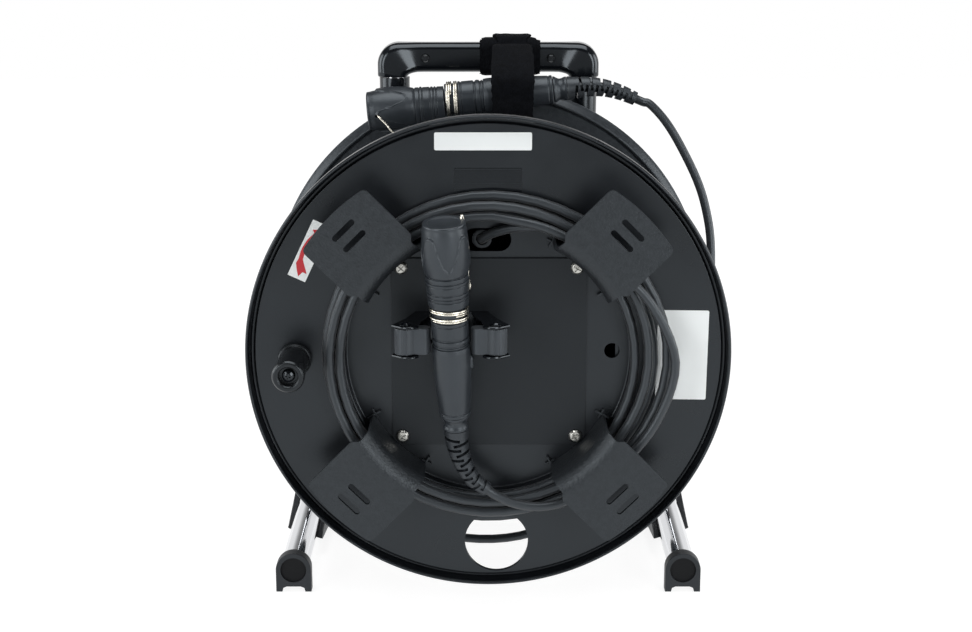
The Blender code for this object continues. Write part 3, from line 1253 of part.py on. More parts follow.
def build():
    drum_pivot = pivot_empty("drum_axis", at(0, 0, 0))
    knob_pivot = pivot_empty("knob_axis", at(KNOB_OFFSET[0], 0, KNOB_OFFSET[1]))
    jaw_pivots = {
        label: pivot_empty(f"jaw_axis_{label}",
                           at(CLIP_CENTRE_X + side * CLIP_PIN_SPREAD, CLIP_PIN_Y, 0))
        for label, side in (("left", -1), ("right", 1))}
    bpy.context.view_layer.update()
    front_flange(drum_pivot)
    rear_flange(drum_pivot)
    barrel(drum_pivot)
    pack_core(drum_pivot)
    pack_winding(drum_pivot)
    cover_plate(drum_pivot)
    cover_screws(drum_pivot)
    guards(drum_pivot)
    axle()
    bushes(drum_pivot)
    knob(drum_pivot, knob_pivot)
    frame_tubes()
    foot_caps()
    rear_feet()
    crossbar()
    handle_halves()
    strap()
    clip(drum_pivot, jaw_pivots)
    inner_lead(*inner_connector(drum_pivot), drum_pivot)
    outer_lead(*outer_connector())


clear_scene()
PARTS = new_collection("cable_reel")
CUTTERS = new_collection("cutters")
build()
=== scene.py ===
"""Looks of the cable reel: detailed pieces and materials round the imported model.

Places are in metres. at() starts from the axle's centre on the front rim's plane, with X to
the right, Y away from the camera and Z up, as the model's source does.
"""
import math

import bmesh
import bpy
from mathutils import Matrix, Vector, noise


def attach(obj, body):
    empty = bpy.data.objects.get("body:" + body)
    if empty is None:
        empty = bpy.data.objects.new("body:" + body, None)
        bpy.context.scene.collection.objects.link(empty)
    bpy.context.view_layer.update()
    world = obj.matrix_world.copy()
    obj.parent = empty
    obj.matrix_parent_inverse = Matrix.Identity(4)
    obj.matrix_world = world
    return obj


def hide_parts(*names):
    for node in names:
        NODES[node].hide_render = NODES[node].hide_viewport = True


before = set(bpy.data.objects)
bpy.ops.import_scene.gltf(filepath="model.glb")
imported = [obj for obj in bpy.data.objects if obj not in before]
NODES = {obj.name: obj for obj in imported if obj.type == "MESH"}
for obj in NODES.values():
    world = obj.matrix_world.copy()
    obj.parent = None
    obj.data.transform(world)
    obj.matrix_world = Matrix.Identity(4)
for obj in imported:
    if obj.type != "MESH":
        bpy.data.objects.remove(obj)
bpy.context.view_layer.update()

RIM_Y = -0.0795
AXLE_HEIGHT = 0.172
ALONG_Y = Matrix.Rotation(-math.pi / 2, 4, 'X')
FACING = Matrix.Rotation(math.pi / 2, 4, 'X')
ALONG_Z = Matrix.Identity(4)
ALONG_X = Matrix(((0, 0, 1, 0), (1, 0, 0, 0), (0, 1, 0, 0), (0, 0, 0, 1)))
FINE = 96
GAP = 0.0003


def at(x, y, z):
    """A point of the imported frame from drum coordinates."""
    return Vector((x, RIM_Y + y, AXLE_HEIGHT + z))


def placed(x, y, z, turn=ALONG_Z):
    """A shape's place, and the way that its own axes face."""
    return Matrix.Translation(at(x, y, z)) @ turn


# Materials

def maths(nodes, links, operation, first, second):
    """The result of a Math node with two sockets joined to it."""
    node = nodes.new("ShaderNodeMath")
    node.operation = operation
    links.new(first, node.inputs[0])
    links.new(second, node.inputs[1])
    return node.outputs[0]


def ranged(nodes, links, value, low, high, kind='LINEAR'):
    """Map a socket's value between two pairs of a value and its result."""
    node = nodes.new("ShaderNodeMapRange")
    node.interpolation_type = kind
    node.inputs["From Min"].default_value, node.inputs["To Min"].default_value = low
    node.inputs["From Max"].default_value, node.inputs["To Max"].default_value = high
    links.new(value, node.inputs["Value"])
    return node.outputs["Result"]


def surface(name, colour, roughness, metallic=0.0, sheen=0.0, gloss=0.5, spread=0.15,
            rough_spread=0.06, patch=35.0, grains=()):
    """A Principled material whose tone and roughness vary, with one bump layer per grain.

    A grain is its kind, scale, strength and depth. Dark plastics and coats shine bluish.
    """
    cool = (1, 1, 1, 1) if metallic or gloss < 0.2 else (0.84, 0.93, 1.0, 1)
    made = bpy.data.materials.new(name)
    made.use_nodes = True
    nodes, links = made.node_tree.nodes, made.node_tree.links
    shader = nodes["Principled BSDF"]
    shader.inputs["Metallic"].default_value = metallic
    shader.inputs["Specular IOR Level"].default_value = gloss
    shader.inputs["Specular Tint"].default_value = cool
    shader.inputs["Sheen Weight"].default_value = sheen
    shader.inputs["Sheen Roughness"].default_value = 0.5
    place = nodes.new("ShaderNodeTexCoord")
    tone = nodes.new("ShaderNodeTexNoise")
    tone.inputs["Scale"].default_value = patch
    tone.inputs["Detail"].default_value = 6.0
    links.new(place.outputs["Object"], tone.inputs["Vector"])
    ramp = nodes.new("ShaderNodeValToRGB")
    ramp.color_ramp.elements[0].position = 0.3
    ramp.color_ramp.elements[1].position = 0.7
    ramp.color_ramp.elements[0].color = (*[c * (1 - spread) for c in colour], 1)
    ramp.color_ramp.elements[1].color = (*[c * (1 + spread) for c in colour], 1)
    links.new(tone.outputs["Fac"], ramp.inputs["Fac"])
    links.new(ramp.outputs["Color"], shader.inputs["Base Color"])
    rough = ranged(nodes, links, tone.outputs["Fac"],
                   (0.3, max(0.03, roughness - rough_spread)),
                   (0.7, min(1.0, roughness + rough_spread)))
    links.new(rough, shader.inputs["Roughness"])
    before = None
    for kind, scale, strength, distance in grains:
        if kind == 'noise':
            grain = nodes.new("ShaderNodeTexNoise")
            grain.inputs["Scale"].default_value = scale
            grain.inputs["Detail"].default_value = 3.0
            height = grain.outputs["Fac"]
        elif kind == 'cells':
            grain = nodes.new("ShaderNodeTexVoronoi")
            grain.inputs["Scale"].default_value = scale
            height = grain.outputs["Distance"]
        else:
            grain = nodes.new("ShaderNodeTexWave")
            grain.bands_direction = kind
            grain.inputs["Scale"].default_value = scale
            grain.inputs["Distortion"].default_value = 1.2
            grain.inputs["Detail"].default_value = 2.0
            height = grain.outputs["Fac"]
        links.new(place.outputs["Object"], grain.inputs["Vector"])
        bump = nodes.new("ShaderNodeBump")
        bump.inputs["Strength"].default_value = strength
        bump.inputs["Distance"].default_value = distance
        links.new(height, bump.inputs["Height"])
        if before:
            links.new(before, bump.inputs["Normal"])
        before = bump.outputs["Normal"]
    if before:
        links.new(before, shader.inputs["Normal"])
    return made


POWDER = surface("satin_powder_coat", (0.0045, 0.0053, 0.0068), 0.32, gloss=0.48,
                 grains=(('noise', 700, 0.14, 0.0002), ('noise', 60, 0.06, 0.0006)))
REAR_COAT = surface("textured_powder_coat", (0.0190, 0.0220, 0.0255), 0.34, spread=0.20,
                    patch=420, grains=(('noise', 900, 0.35, 0.0004),))
PLATE = surface("cover_coat", (0.0045, 0.0052, 0.0064), 0.36, gloss=0.36,
                grains=(('noise', 900, 0.14, 0.0002),))
GRAINED = surface("grained_moulding", (0.0120, 0.0138, 0.0160), 0.40, gloss=0.45,
                  spread=0.22, patch=420, grains=(('cells', 620, 0.32, 0.0004),
                                                  ('noise', 1500, 0.30, 0.0003)))
GLOSS = surface("gloss_moulding", (0.0028, 0.0034, 0.0046), 0.15, rough_spread=0.03,
                grains=(('noise', 90, 0.04, 0.0006),))
SOFT = surface("soft_rubber", (0.0195, 0.0230, 0.0275), 0.36, gloss=0.5,
               grains=(('noise', 1800, 0.18, 0.0001),))
BOOT = surface("boot_rubber", (0.0180, 0.0205, 0.0240), 0.42, gloss=0.5,
               grains=(('noise', 1500, 0.22, 0.0001),))
JAW = surface("jaw_rubber", (0.026, 0.030, 0.035), 0.40, sheen=0.05,
              grains=(('noise', 1200, 0.20, 0.0001),))
CABLE = surface("cable_jacket", (0.0185, 0.0215, 0.0250), 0.36, sheen=0.12, spread=0.12,
                grains=(('noise', 1100, 0.05, 0.0001),))
GRIP = surface("knob_moulding", (0.0045, 0.0050, 0.0058), 0.26, gloss=0.40,
               grains=(('noise', 1600, 0.14, 0.0001),))
FOOT = surface("foot_moulding", (0.0150, 0.0160, 0.0180), 0.50, gloss=0.40,
               grains=(('noise', 1300, 0.25, 0.0001),))
DULL = surface("dull_plastic", (0.0040, 0.0046, 0.0056), 0.60, gloss=0.18,
               grains=(('noise', 1300, 0.20, 0.0001),))
CHROME = surface("chrome_plate", (0.66, 0.67, 0.69), 0.06, metallic=1.0, spread=0.03,
                 rough_spread=0.02, patch=20, grains=(('noise', 25, 0.03, 0.0010),))
ZINC = surface("bright_zinc", (0.50, 0.50, 0.47), 0.28, metallic=1.0, spread=0.10,
               rough_spread=0.08, patch=240, grains=(('noise', 900, 0.10, 0.0001),))
BLACKED = surface("blacked_steel", (0.0080, 0.0085, 0.0095), 0.28, spread=0.15,
                  patch=240, grains=(('noise', 900, 0.10, 0.0001),))
STEEL = surface("plain_steel", (0.42, 0.42, 0.43), 0.34, metallic=1.0, spread=0.12,
                patch=150, grains=(('noise', 500, 0.12, 0.0001),))
WIRE = surface("lanyard_steel", (0.78, 0.75, 0.66), 0.24, metallic=1.0, spread=0.15,
               patch=500, grains=(('noise', 1500, 0.45, 0.0003),))
BRONZE = surface("sintered_bronze", (0.38, 0.25, 0.11), 0.42, metallic=1.0, spread=0.15,
                 patch=200, grains=(('noise', 1200, 0.20, 0.0001),))
TAPE = surface("hook_and_loop_tape", (0.0035, 0.0040, 0.0052), 0.95, sheen=0.01,
               gloss=0.05, spread=0.35, patch=260,
               grains=(('noise', 900, 0.9, 0.0006), ('X', 260, 0.35, 0.0004)))
PAPER = surface("white_label", (0.77, 0.80, 0.80), 0.38, spread=0.015, rough_spread=0.03,
                grains=(('noise', 400, 0.03, 0.0002),))
RED = surface("red_print", (0.50, 0.020, 0.028), 0.40, spread=0.05,
              grains=(('noise', 400, 0.03, 0.0002),))


# Shapes

def link(name, mesh, place=ALONG_Z):
    """An object in the scene, at its place."""
    made = bpy.data.objects.new(name, mesh)
    made.matrix_world = place
    bpy.context.scene.collection.objects.link(made)
    return made


def settle(shape):
    """Apply the modifiers of a shape, or turn its curve into a mesh."""
    bpy.context.view_layer.update()
    evaluated = shape.evaluated_get(bpy.context.evaluated_depsgraph_get())
    mesh = bpy.data.meshes.new_from_object(evaluated)
    if shape.type == 'CURVE':
        made = link(shape.name + "_mesh", mesh, shape.matrix_world.copy())
        name = shape.name
        bpy.data.objects.remove(shape)
        made.name = name
        return made
    shape.modifiers.clear()
    shape.data = mesh
    return shape


def tidy(shape, distance=0.00001):
    """Merge doubled points, drop empty faces and turn the faces outwards."""
    made = bmesh.new()
    made.from_mesh(shape.data)
    bmesh.ops.remove_doubles(made, verts=made.verts, dist=distance)
    bmesh.ops.dissolve_degenerate(made, edges=made.edges, dist=0.0000001)
    bmesh.ops.recalc_face_normals(made, faces=made.faces)
    made.to_mesh(shape.data)
    made.free()
    return shape


def break_edges(shape, width, sharper_than):
    """Bevel the edges of a shape that bend more than an angle in degrees."""
    round_off = shape.modifiers.new("Edge", 'BEVEL')
    round_off.width = width
    round_off.segments = 2
    round_off.limit_method = 'ANGLE'
    round_off.angle_limit = math.radians(sharper_than)


def piece(shape, body, look, nodes=(), angle=34, bevel=0.0, weighted=True):
    """Finish a shape, let it ride on its body and stand for its nodes."""
    if bevel:
        break_edges(shape, bevel, 38)
        shape = settle(shape)
    shape.data.materials.clear()
    shape.data.materials.append(look)
    if shape.type == 'MESH':
        shape.data.shade_smooth()
        shape.data.set_sharp_from_angle(angle=math.radians(angle))
        if weighted:
            shape.modifiers.new("Normals", 'WEIGHTED_NORMAL').keep_sharp = True
    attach(shape, body)
    if nodes:
        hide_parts(*nodes)
    return shape


def rounded(points, radius, steps=4, closed=True):
    """An outline whose corners are arcs; a point may give its own radius as a third value."""
    result = []
    count = len(points)
    for index, point in enumerate(points):
        here = Vector(point[:2])
        own = point[2] if len(point) > 2 else radius
        if own == 0 or (not closed and index in (0, count - 1)):
            result.append(here)
            continue
        back = Vector(points[index - 1][:2]) - here
        ahead = Vector(points[(index + 1) % count][:2]) - here
        angle = back.angle(ahead)
        if angle > math.pi - 0.04:
            result.append(here)
            continue
        reach = min(own / math.tan(angle / 2), back.length * 0.49, ahead.length * 0.49)
        start, end = here + back.normalized() * reach, here + ahead.normalized() * reach
        for step in range(steps + 1):
            t = step / steps
            result.append(start * (1 - t) ** 2 + here * 2 * t * (1 - t) + end * t * t)
    return [(p.x, p.y) for p in result]


def lathe(name, profile, place, steps=FINE, sweep=2 * math.pi):
    """Revolve (radius, height) points about the shape's own Z axis."""
    whole = abs(sweep - 2 * math.pi) < 1e-6
    rings = steps if whole else steps + 1
    count = len(profile)
    vertices = []
    for ring in range(rings):
        angle = sweep * ring / steps
        vertices += [(r * math.cos(angle), r * math.sin(angle), h) for r, h in profile]
    closed = profile[0][0] > 1e-6
    faces = []
    for ring in range(steps):
        after = (ring + 1) % rings
        for i in range(count if closed else count - 1):
            j = (i + 1) % count
            faces.append((ring * count + i, after * count + i, after * count + j,
                          ring * count + j))
    if not whole:
        faces.append(tuple(range(count)))
        faces.append(tuple(range((rings - 1) * count, rings * count)))
    mesh = bpy.data.meshes.new(name)
    mesh.from_pydata(vertices, [], faces)
    return tidy(link(name, mesh, place))


def slab(name, loops, thickness, place, bevel=0.0, steps=3):
    """A flat outline, with any inner loops as holes, thickened half to each side."""
    curve = bpy.data.curves.new(name, 'CURVE')
    curve.dimensions = '2D'
    curve.fill_mode = 'BOTH'
    curve.extrude = thickness / 2 - bevel
    curve.bevel_depth = bevel
    curve.bevel_resolution = steps
    curve.offset = -bevel
    for loop in loops:
        spline = curve.splines.new('POLY')
        spline.points.add(len(loop) - 1)
        for point, (u, v) in zip(spline.points, loop):
            point.co = (u, v, 0.0, 1.0)
        spline.use_cyclic_u = True
    return tidy(settle(link(name, curve, place)))


def tube(name, points, radius, sides=3, taper=None, keep_curve=False):
    """A round tube through the points, with an optional share of the radius at each."""
    curve = bpy.data.curves.new(name, 'CURVE')
    curve.dimensions = '3D'
    curve.bevel_depth = radius
    curve.bevel_resolution = sides
    curve.use_fill_caps = True
    spline = curve.splines.new('POLY')
    spline.points.add(len(points) - 1)
    for index, (point, place) in enumerate(zip(spline.points, points)):
        point.co = (*place, 1.0)
        point.radius = taper[index] if taper else 1.0
    spline.use_smooth = True
    made = link(name, curve)
    return made if keep_curve else tidy(settle(made))


def block(name, size, place):
    """A box about its middle."""
    made = bmesh.new()
    bmesh.ops.create_cube(made, size=1.0)
    bmesh.ops.scale(made, vec=size, verts=made.verts)
    mesh = bpy.data.meshes.new(name)
    made.to_mesh(mesh)
    made.free()
    return link(name, mesh, place)


def rod(name, radius, length, place, sides=48):
    """A solid cylinder that starts at its place."""
    return lathe(name, [(0, 0), (radius, 0), (radius, length), (0, length)], place, sides)


def combine(shape, others, operation='DIFFERENCE'):
    """Cut the others out of a shape, or add or keep them, and remove them."""
    for other in others:
        step = shape.modifiers.new("Step", 'BOOLEAN')
        step.operation = operation
        step.solver = 'EXACT'
        step.object = other
    shape = settle(shape)
    for other in others:
        bpy.data.objects.remove(other)
    return shape


def merge(shape, others):
    """Put the others' meshes into a shape's own."""
    made = bmesh.new()
    made.from_mesh(shape.data)
    back = shape.matrix_world.inverted()
    for other in others:
        copy = other.data.copy()
        copy.transform(back @ other.matrix_world)
        made.from_mesh(copy)
        bpy.data.objects.remove(other)
    made.to_mesh(shape.data)
    made.free()
    return shape


def arc(centre, radius, start, end, steps):
    """Points of an arc between two angles in degrees."""
    angles = [math.radians(start + (end - start) * i / steps) for i in range(steps + 1)]
    return [(centre[0] + radius * math.cos(a), centre[1] + radius * math.sin(a))
            for a in angles]


def oval(length, height, steps=12):
    """A slot's outline with round ends."""
    half = (length - height) / 2
    return arc((half, 0), height / 2, -90, 90, steps) + arc((-half, 0), height / 2, 90, 270,
                                                            steps)


def smooth(points, per_span, closed=False):
    """A smooth curve through the points, with the same number of steps in each span."""
    knots = [Vector(point) for point in points]
    count = len(knots)
    result = []
    for index in range(count if closed else count - 1):
        if closed:
            before, start, end, after = (knots[(index + k) % count] for k in (-1, 0, 1, 2))
        else:
            start, end = knots[index], knots[index + 1]
            before = knots[index - 1] if index else 2 * start - end
            after = knots[index + 2] if index + 2 < count else 2 * end - start
        for step in range(per_span):
            t = step / per_span
            result.append(0.5 * (2 * start + (end - before) * t
                                 + (2 * before - 5 * start + 4 * end - after) * t ** 2
                                 + (3 * start - before - 3 * end + after) * t ** 3))
    if not closed:
        result.append(knots[-1])
    return result


def bent_path(corners, radii, steps):
    """Straight runs between corners, with an arc of the given radius at each inner one."""
    knots = [Vector(corner) for corner in corners]
    path = [knots[0]]
    for index, radius in enumerate(radii, start=1):
        corner = knots[index]
        back = (knots[index - 1] - corner).normalized()
        ahead = (knots[index + 1] - corner).normalized()
        half = back.angle(ahead) / 2
        middle = corner + (back + ahead).normalized() * radius / math.sin(half)
        start = corner + back * radius / math.tan(half) - middle
        end = corner + ahead * radius / math.tan(half) - middle
        turn, axis = start.angle(end), start.cross(end)
        for step in range(steps + 1):
            path.append(middle + Matrix.Rotation(turn * step / steps, 3, axis) @ start)
    path.append(knots[-1])
    return path


def length_of(points):
    return sum((b - a).length for a, b in zip(points, points[1:]))


def cross_slots(place, turns, reach, half, depth):
    """Cutters for a screw's cross: one slot at each turn in degrees."""
    loop = [(-reach, -half), (reach, -half), (reach, half), (-reach, half)]
    return [slab("cross", [loop], depth, place @ Matrix.Rotation(math.radians(turn), 4, 'Z'))
            for turn in turns]


# Drum

def flange(name, rim, hub):
    """A pressed disc: its rim is a bead beside a channel; hub lists its middle."""
    return lathe(name, rounded(rim + hub, 0.0006, 5), placed(0, 0, 0, ALONG_Y),
                 240)


def drum():
    """Both flanges with their holes, and the barrel between them."""
    bore, boss = 0.0116, 0.0161
    front_hub = [(0.0940, 0.0075), (0.0940, 0.0135), (0.0265, 0.0135), (0.0265, 0.0215),
                 (boss, 0.0215), (boss, 0.0400), (bore, 0.0400), (bore, 0.0190),
                 (0.0240, 0.0190), (0.0240, 0.0110), (0.0915, 0.0110, 0.0012),
                 (0.0915, 0.0045, 0.0012)]
    front_rim = [(0.1492, 0.0045, 0.0007), (0.1496, 0.0078, 0.0012),
                 (0.1520, 0.0078, 0.0010), (0.1525, -0.0006, 0.0010),
                 (0.1533, -0.0018, 0.0009), (0.1544, -0.0018, 0.0009),
                 (0.1550, -0.0004, 0.0012), (0.1550, 0.0052, 0.0015),
                 (0.1540, 0.0085, 0.0015), (0.1527, 0.0104, 0.0010),
                 (0.1488, 0.0104, 0.0015), (0.1478, 0.0075, 0.0010)]
    front = flange("flange_front", front_rim, front_hub)
    cutters = [rod("finger_hole", 0.0207, 0.03, placed(0.0054, -0.01, -0.1266, ALONG_Y), 96),
               rod("side_hole", 0.0050, 0.03, placed(0.0796, -0.01, 0.0014, ALONG_Y)),
               rod("knob_hole", 0.0032, 0.03, placed(-0.1234, -0.01, -0.0017, ALONG_Y)),
               slab("lead_hole", [oval(0.031, 0.015)], 0.03,
                    placed(-0.0008, 0.011, 0.0742, FACING))]
    for sx in (-0.056, 0.056):
        for sz in (-0.056, 0.056):
            cutters.append(rod("screw_hole", 0.0021, 0.03,
                               placed(0.0005 + sx, 0, 0.0005 + sz, ALONG_Y), 24))
    front = combine(front, cutters)
    piece(front, "drum", POWDER, ["front_flange"], bevel=0.0004)
    rear_hub = [(boss, 0.1553), (boss, 0.1373), (bore, 0.1373), (bore, 0.1583)]
    rear_rim = [(0.1492, 0.1583, 0.0007), (0.1496, 0.1550, 0.0012),
                (0.1520, 0.1550, 0.0010), (0.1525, 0.1600, 0.0010),
                (0.1533, 0.1612, 0.0009), (0.1544, 0.1612, 0.0009),
                (0.1550, 0.1598, 0.0012), (0.1550, 0.1566, 0.0008),
                (0.1534, 0.1556, 0.0006), (0.1502, 0.1520, 0.0012),
                (0.1488, 0.1520, 0.0010), (0.1474, 0.1553, 0.0012)]
    back = flange("flange_rear", rear_rim, rear_hub)
    piece(back, "drum", REAR_COAT, ["rear_flange"])
    barrel = lathe("barrel_wall", [(0.082, 0.0138), (0.084, 0.0138), (0.084, 0.1550),
                                   (0.082, 0.1550)], placed(0, 0, 0, ALONG_Y))
    piece(barrel, "drum", POWDER, ["barrel"])


def lane_and_pack():
    """The layers below as a scalloped ring, and the turns of the outer layer."""
    pitch, radius = 0.0066, 0.003
    under = [(0.0843, 0.0138), (0.0943, 0.0138), (0.0943, 0.0078)]
    middle = 0.0078 + radius
    while middle + radius < 0.1550:
        under += [(0.1067 + r, h) for h, r in arc((middle, 0.0), radius, 170, 10, 8)]
        middle += pitch
    under += [(0.1067, 0.1550), (0.0843, 0.1550)]
    core = lathe("lower_layers", under, placed(0, 0, 0, ALONG_Y))
    piece(core, "drum", CABLE, ["pack_core"], angle=60, weighted=False)
    steps = 60
    circle = 0.1100 / math.cos(math.pi / 24) + radius

    def turn_points(start, first, count, tails):
        """A helix with its hidden ends led down between the turns below."""
        points = []
        for index in range(int(count * steps) + 1):
            angle = math.radians(start) + 2 * math.pi * index / steps
            share = index / (count * steps)
            from_start, to_end = share * count * 360, (1 - share) * count * 360
            dip = 0.0
            if tails[0]:
                dip = max(dip, 1 - from_start / 30)
            if tails[1]:
                dip = max(dip, 1 - to_end / 30)
            r = circle - 0.0072 * max(0.0, dip) ** 1.5
            points.append(at(r * math.cos(angle), first - pitch * index / steps,
                             r * math.sin(angle)))
        return points

    back = turn_points(70, 0.1517, 12, (True, False))
    for index in range(1, int(steps * 305 / 360) + 1):
        angle = math.radians(70) + 2 * math.pi * index / steps
        share = min(1.0, max(0.0, (index * 360 / steps - 128) / 150))
        depth = 0.1517 - 12 * pitch - 0.0072 * share * share * (3 - 2 * share)
        back.append(at(circle * math.cos(angle), depth, circle * math.sin(angle)))
    turns = tube("outer_layer_back", back, radius, 3)
    piece(turns, "drum", CABLE, ["pack_winding"], weighted=False)
    front = tube("outer_layer_front", turn_points(160, 0.0653 - 0.0072, 6.9, (True, True)),
                 radius, 3)
    piece(front, "drum", CABLE, (), weighted=False)


def cover():
    """The plate over the hub, and its four cross-head screws."""
    plate = block("front_cover", (0.125, 0.0016, 0.124), placed(0.0005, 0.0099, 0.0005))
    inside = rod("cover_limit", 0.0842, 0.02, placed(0, 0, 0, ALONG_Y), 160)
    plate = combine(plate, [inside], 'INTERSECT')
    piece(plate, "drum", PLATE, ["cover_plate"], bevel=0.0005)
    head = rounded([(0.0, -0.0024, 0), (0.0030, -0.0023, 0.0008), (0.0043, -0.0009, 0.0010),
                    (0.0043, 0.0, 0.0003), (0.0019, 0.0), (0.0019, 0.0045), (0.0, 0.0045)],
                   0.0002, 4, closed=False)
    places = ((-0.0555, 0.0565, 43), (-0.0555, -0.0555, 52), (0.0565, 0.0565, 33),
              (0.0565, -0.0555, 62))
    for index, (x, z, turn) in enumerate(places, start=1):
        screw = lathe(f"cover_screw_head_{index}", head, placed(x, 0.0088, z, ALONG_Y), 48)
        crosses = cross_slots(placed(x, 0.0065, z, ALONG_Y), (turn, turn + 90), 0.0026,
                              0.0005, 0.0032)
        crosses.append(lathe("cross_middle", [(0, -0.002), (0.0014, -0.002), (0.0006, 0.0012),
                                              (0, 0.0014)],
                             placed(x, 0.0075, z, ALONG_Y), 8))
        screw = combine(screw, crosses)
        piece(screw, "drum", ZINC, [f"cover_screw_{index}"], bevel=0.00012)


def guards():
    """Four bent hooks that hold the coil, each with two slots and two pairs of tabs."""
    skin = 0.00125
    wall, base = 0.0845 + skin, 0.0107
    face = -0.030 + skin
    bend = 0.0095 + skin
    profile = [(wall, base), (wall, -0.002)]
    profile += arc((wall + bend, face + bend), bend, 180, 270, 14)
    profile += [(0.115, face), (0.1368, face)]
    half, narrow = 0.0275, 0.02375
    end = [(x, y, 0) for x, y in arc((0, 0), 0.1367, -6, 6, 6)]
    sides = rounded([(0.04, -narrow), (0.0903, -narrow, 0.003), (0.094, -half, 0.003),
                     (0.1339, -half, 0.0042)] + end
                    + [(0.1339, half, 0.0042), (0.094, half, 0.003), (0.0903, narrow, 0.003),
                       (0.04, narrow)], 0.0, 6)
    for index, degrees in enumerate((45, 135, 225, 315), start=1):
        around = placed(0, 0, 0, ALONG_Y) @ Matrix.Rotation(-math.radians(degrees), 4, 'Z')
        inner, outer = [], []
        for i, (r, h) in enumerate(profile):
            before = Vector(profile[max(i - 1, 0)])
            after = Vector(profile[min(i + 1, len(profile) - 1)])
            run = (after - before).normalized()
            across = Vector((run.y, -run.x)) * skin
            inner.append((r - across.x, h - across.y))
            outer.append((r + across.x, h + across.y))
        start = around @ Matrix.Rotation(-math.radians(25), 4, 'Z')
        guard = lathe(f"coil_guard_{index}", inner + outer[::-1], start,
                      40, math.radians(50))
        guard = combine(guard, [slab("guard_sides", [sides], 0.1, around)], 'INTERSECT')
        slots = []
        for radius in (0.1154, 0.1248):
            slots.append(slab("guard_slot", [oval(0.0180, 0.0038, 8)], 0.01,
                              around @ Matrix.Translation((radius, 0, face))
                              @ Matrix.Rotation(math.pi / 2, 4, 'Z')))
        guard = combine(guard, slots)
        tabs = []
        for side in (-1, 1):
            swing = around @ Matrix.Rotation(side * math.radians(16.1), 4, 'Z')
            tabs.append(block("tab", (0.0100, 0.0012, 0.0030),
                              swing @ Matrix.Translation((0.0845, 0, 0.0091))))
            tabs.append(block("tab", (0.0012, 0.0070, 0.0022),
                              swing @ Matrix.Translation((0.0836, 0, 0.0096))))
        piece(guard, "drum", GRAINED, [f"guard_{index}"], bevel=0.0007)
        feet = merge(tabs[0], tabs[1:])
        feet.name = f"guard_tabs_{index}"
        piece(feet, "drum", GRAINED, (), bevel=0.0002)


def labels():
    """Two bare labels, a sticker with an arrow, and a blank pad with fine rules."""
    for name, x, z, width, height, turn in (
            ("label_top", -0.0032, 0.1378, 0.0608, 0.0112, 0.0),
            ("label_side", 0.1240, 0.0002, 0.0326, 0.0590, -0.012)):
        loop = rounded([(-width / 2, -height / 2), (width / 2, -height / 2),
                        (width / 2, height / 2), (-width / 2, height / 2)], 0.0012, 6)
        place = placed(x, 0.0044, z, FACING) @ Matrix.Rotation(turn, 4, 'Z')
        piece(slab(name, [loop], 0.00016, place), "drum", PAPER, bevel=0.00005)
    bare = [(-0.1099, 0.0885), (-0.1270, 0.0531), (-0.1160, 0.0480), (-0.0990, 0.0835)]
    place = placed(0, 0.0044, 0, FACING)
    piece(slab("sticker", [rounded(bare, 0.0004, 3)], 0.00016, place), "drum", PAPER,
          bevel=0.00005)
    arrow = [(-0.1203, 0.0519), (-0.1212, 0.0573), (-0.1213, 0.0608, 0.002),
             (-0.1196, 0.0636, 0.001), (-0.1178, 0.0697, 0.02), (-0.1141, 0.0753, 0.02),
             (-0.1092, 0.0799, 0.001), (-0.1106, 0.0820), (-0.1046, 0.0818),
             (-0.1052, 0.0763), (-0.1074, 0.0779, 0.001), (-0.1126, 0.0727, 0.02),
             (-0.1155, 0.0676, 0.02), (-0.1170, 0.0628, 0.002), (-0.1149, 0.0534),
             (-0.1174, 0.0546)]
    printed = slab("printed_arrow", [rounded(arrow, 0.0002, 4)], 0.00010,
                   placed(0, 0.00425, 0, FACING))
    piece(printed, "drum", RED)
    pad = slab("blank_pad", [rounded([(-0.0213, 0.1059), (0.0211, 0.1059), (0.0211, 0.1211),
                                      (-0.0213, 0.1211)], 0.0006, 4)],
               0.0006, placed(0, 0.0044, 0, FACING))
    piece(pad, "drum", GLOSS, bevel=0.0002)
    rules = [slab("rule", [[(-0.0208, z), (0.0206, z), (0.0206, z + 0.0005),
                            (-0.0208, z + 0.0005)]], 0.0004, placed(0, 0.0040, 0, FACING))
             for z in (0.1071, 0.1112, 0.1201)]
    piece(merge(rules[0], rules[1:]), "drum", POWDER)


def knob():
    """The crank's grip and the screw that it turns on."""
    x, z = -0.1234, -0.0017
    tip, base = -0.0410, 0.0042
    grip = rounded([(0.0060, tip + 0.0010, 0.0006), (0.0070, tip, 0.0010),
                    (0.0090, tip, 0.0014), (0.0102, tip + 0.0016, 0.0014),
                    (0.0102, tip + 0.0054, 0.0010), (0.0097, tip + 0.0066, 0.0010),
                    (0.0096, -0.0030, 0.0006), (0.0107, -0.0022, 0.0006),
                    (0.0107, 0.0006, 0.0006), (0.0089, 0.0012, 0.0003), (0.0089, base),
                    (0.0033, base), (0.0033, tip + 0.0055), (0.0060, tip + 0.0055, 0.0003)],
                   0.0003, 5)
    piece(lathe("crank_grip", grip, placed(x, 0, z, ALONG_Y)), "knob", GRIP, ["knob_grip"])
    head = rounded([(0.0, -0.0396), (0.0020, -0.0394, 0.0012), (0.0037, -0.0384, 0.0010),
                    (0.0041, -0.0368, 0.0004), (0.0041, -0.0363, 0.0003), (0.0030, -0.0363),
                    (0.0030, 0.0123), (0.0, 0.0123)], 0.0002, 5, closed=False)
    screw = lathe("crank_screw", head, placed(x, 0, z, ALONG_Y), 48)
    screw = combine(screw, cross_slots(placed(x, -0.0399, z, ALONG_Y), (20, 110), 0.0017,
                                       0.0004, 0.003))
    piece(screw, "drum", GLOSS, ["knob_spindle"], bevel=0.00012)


# Connectors

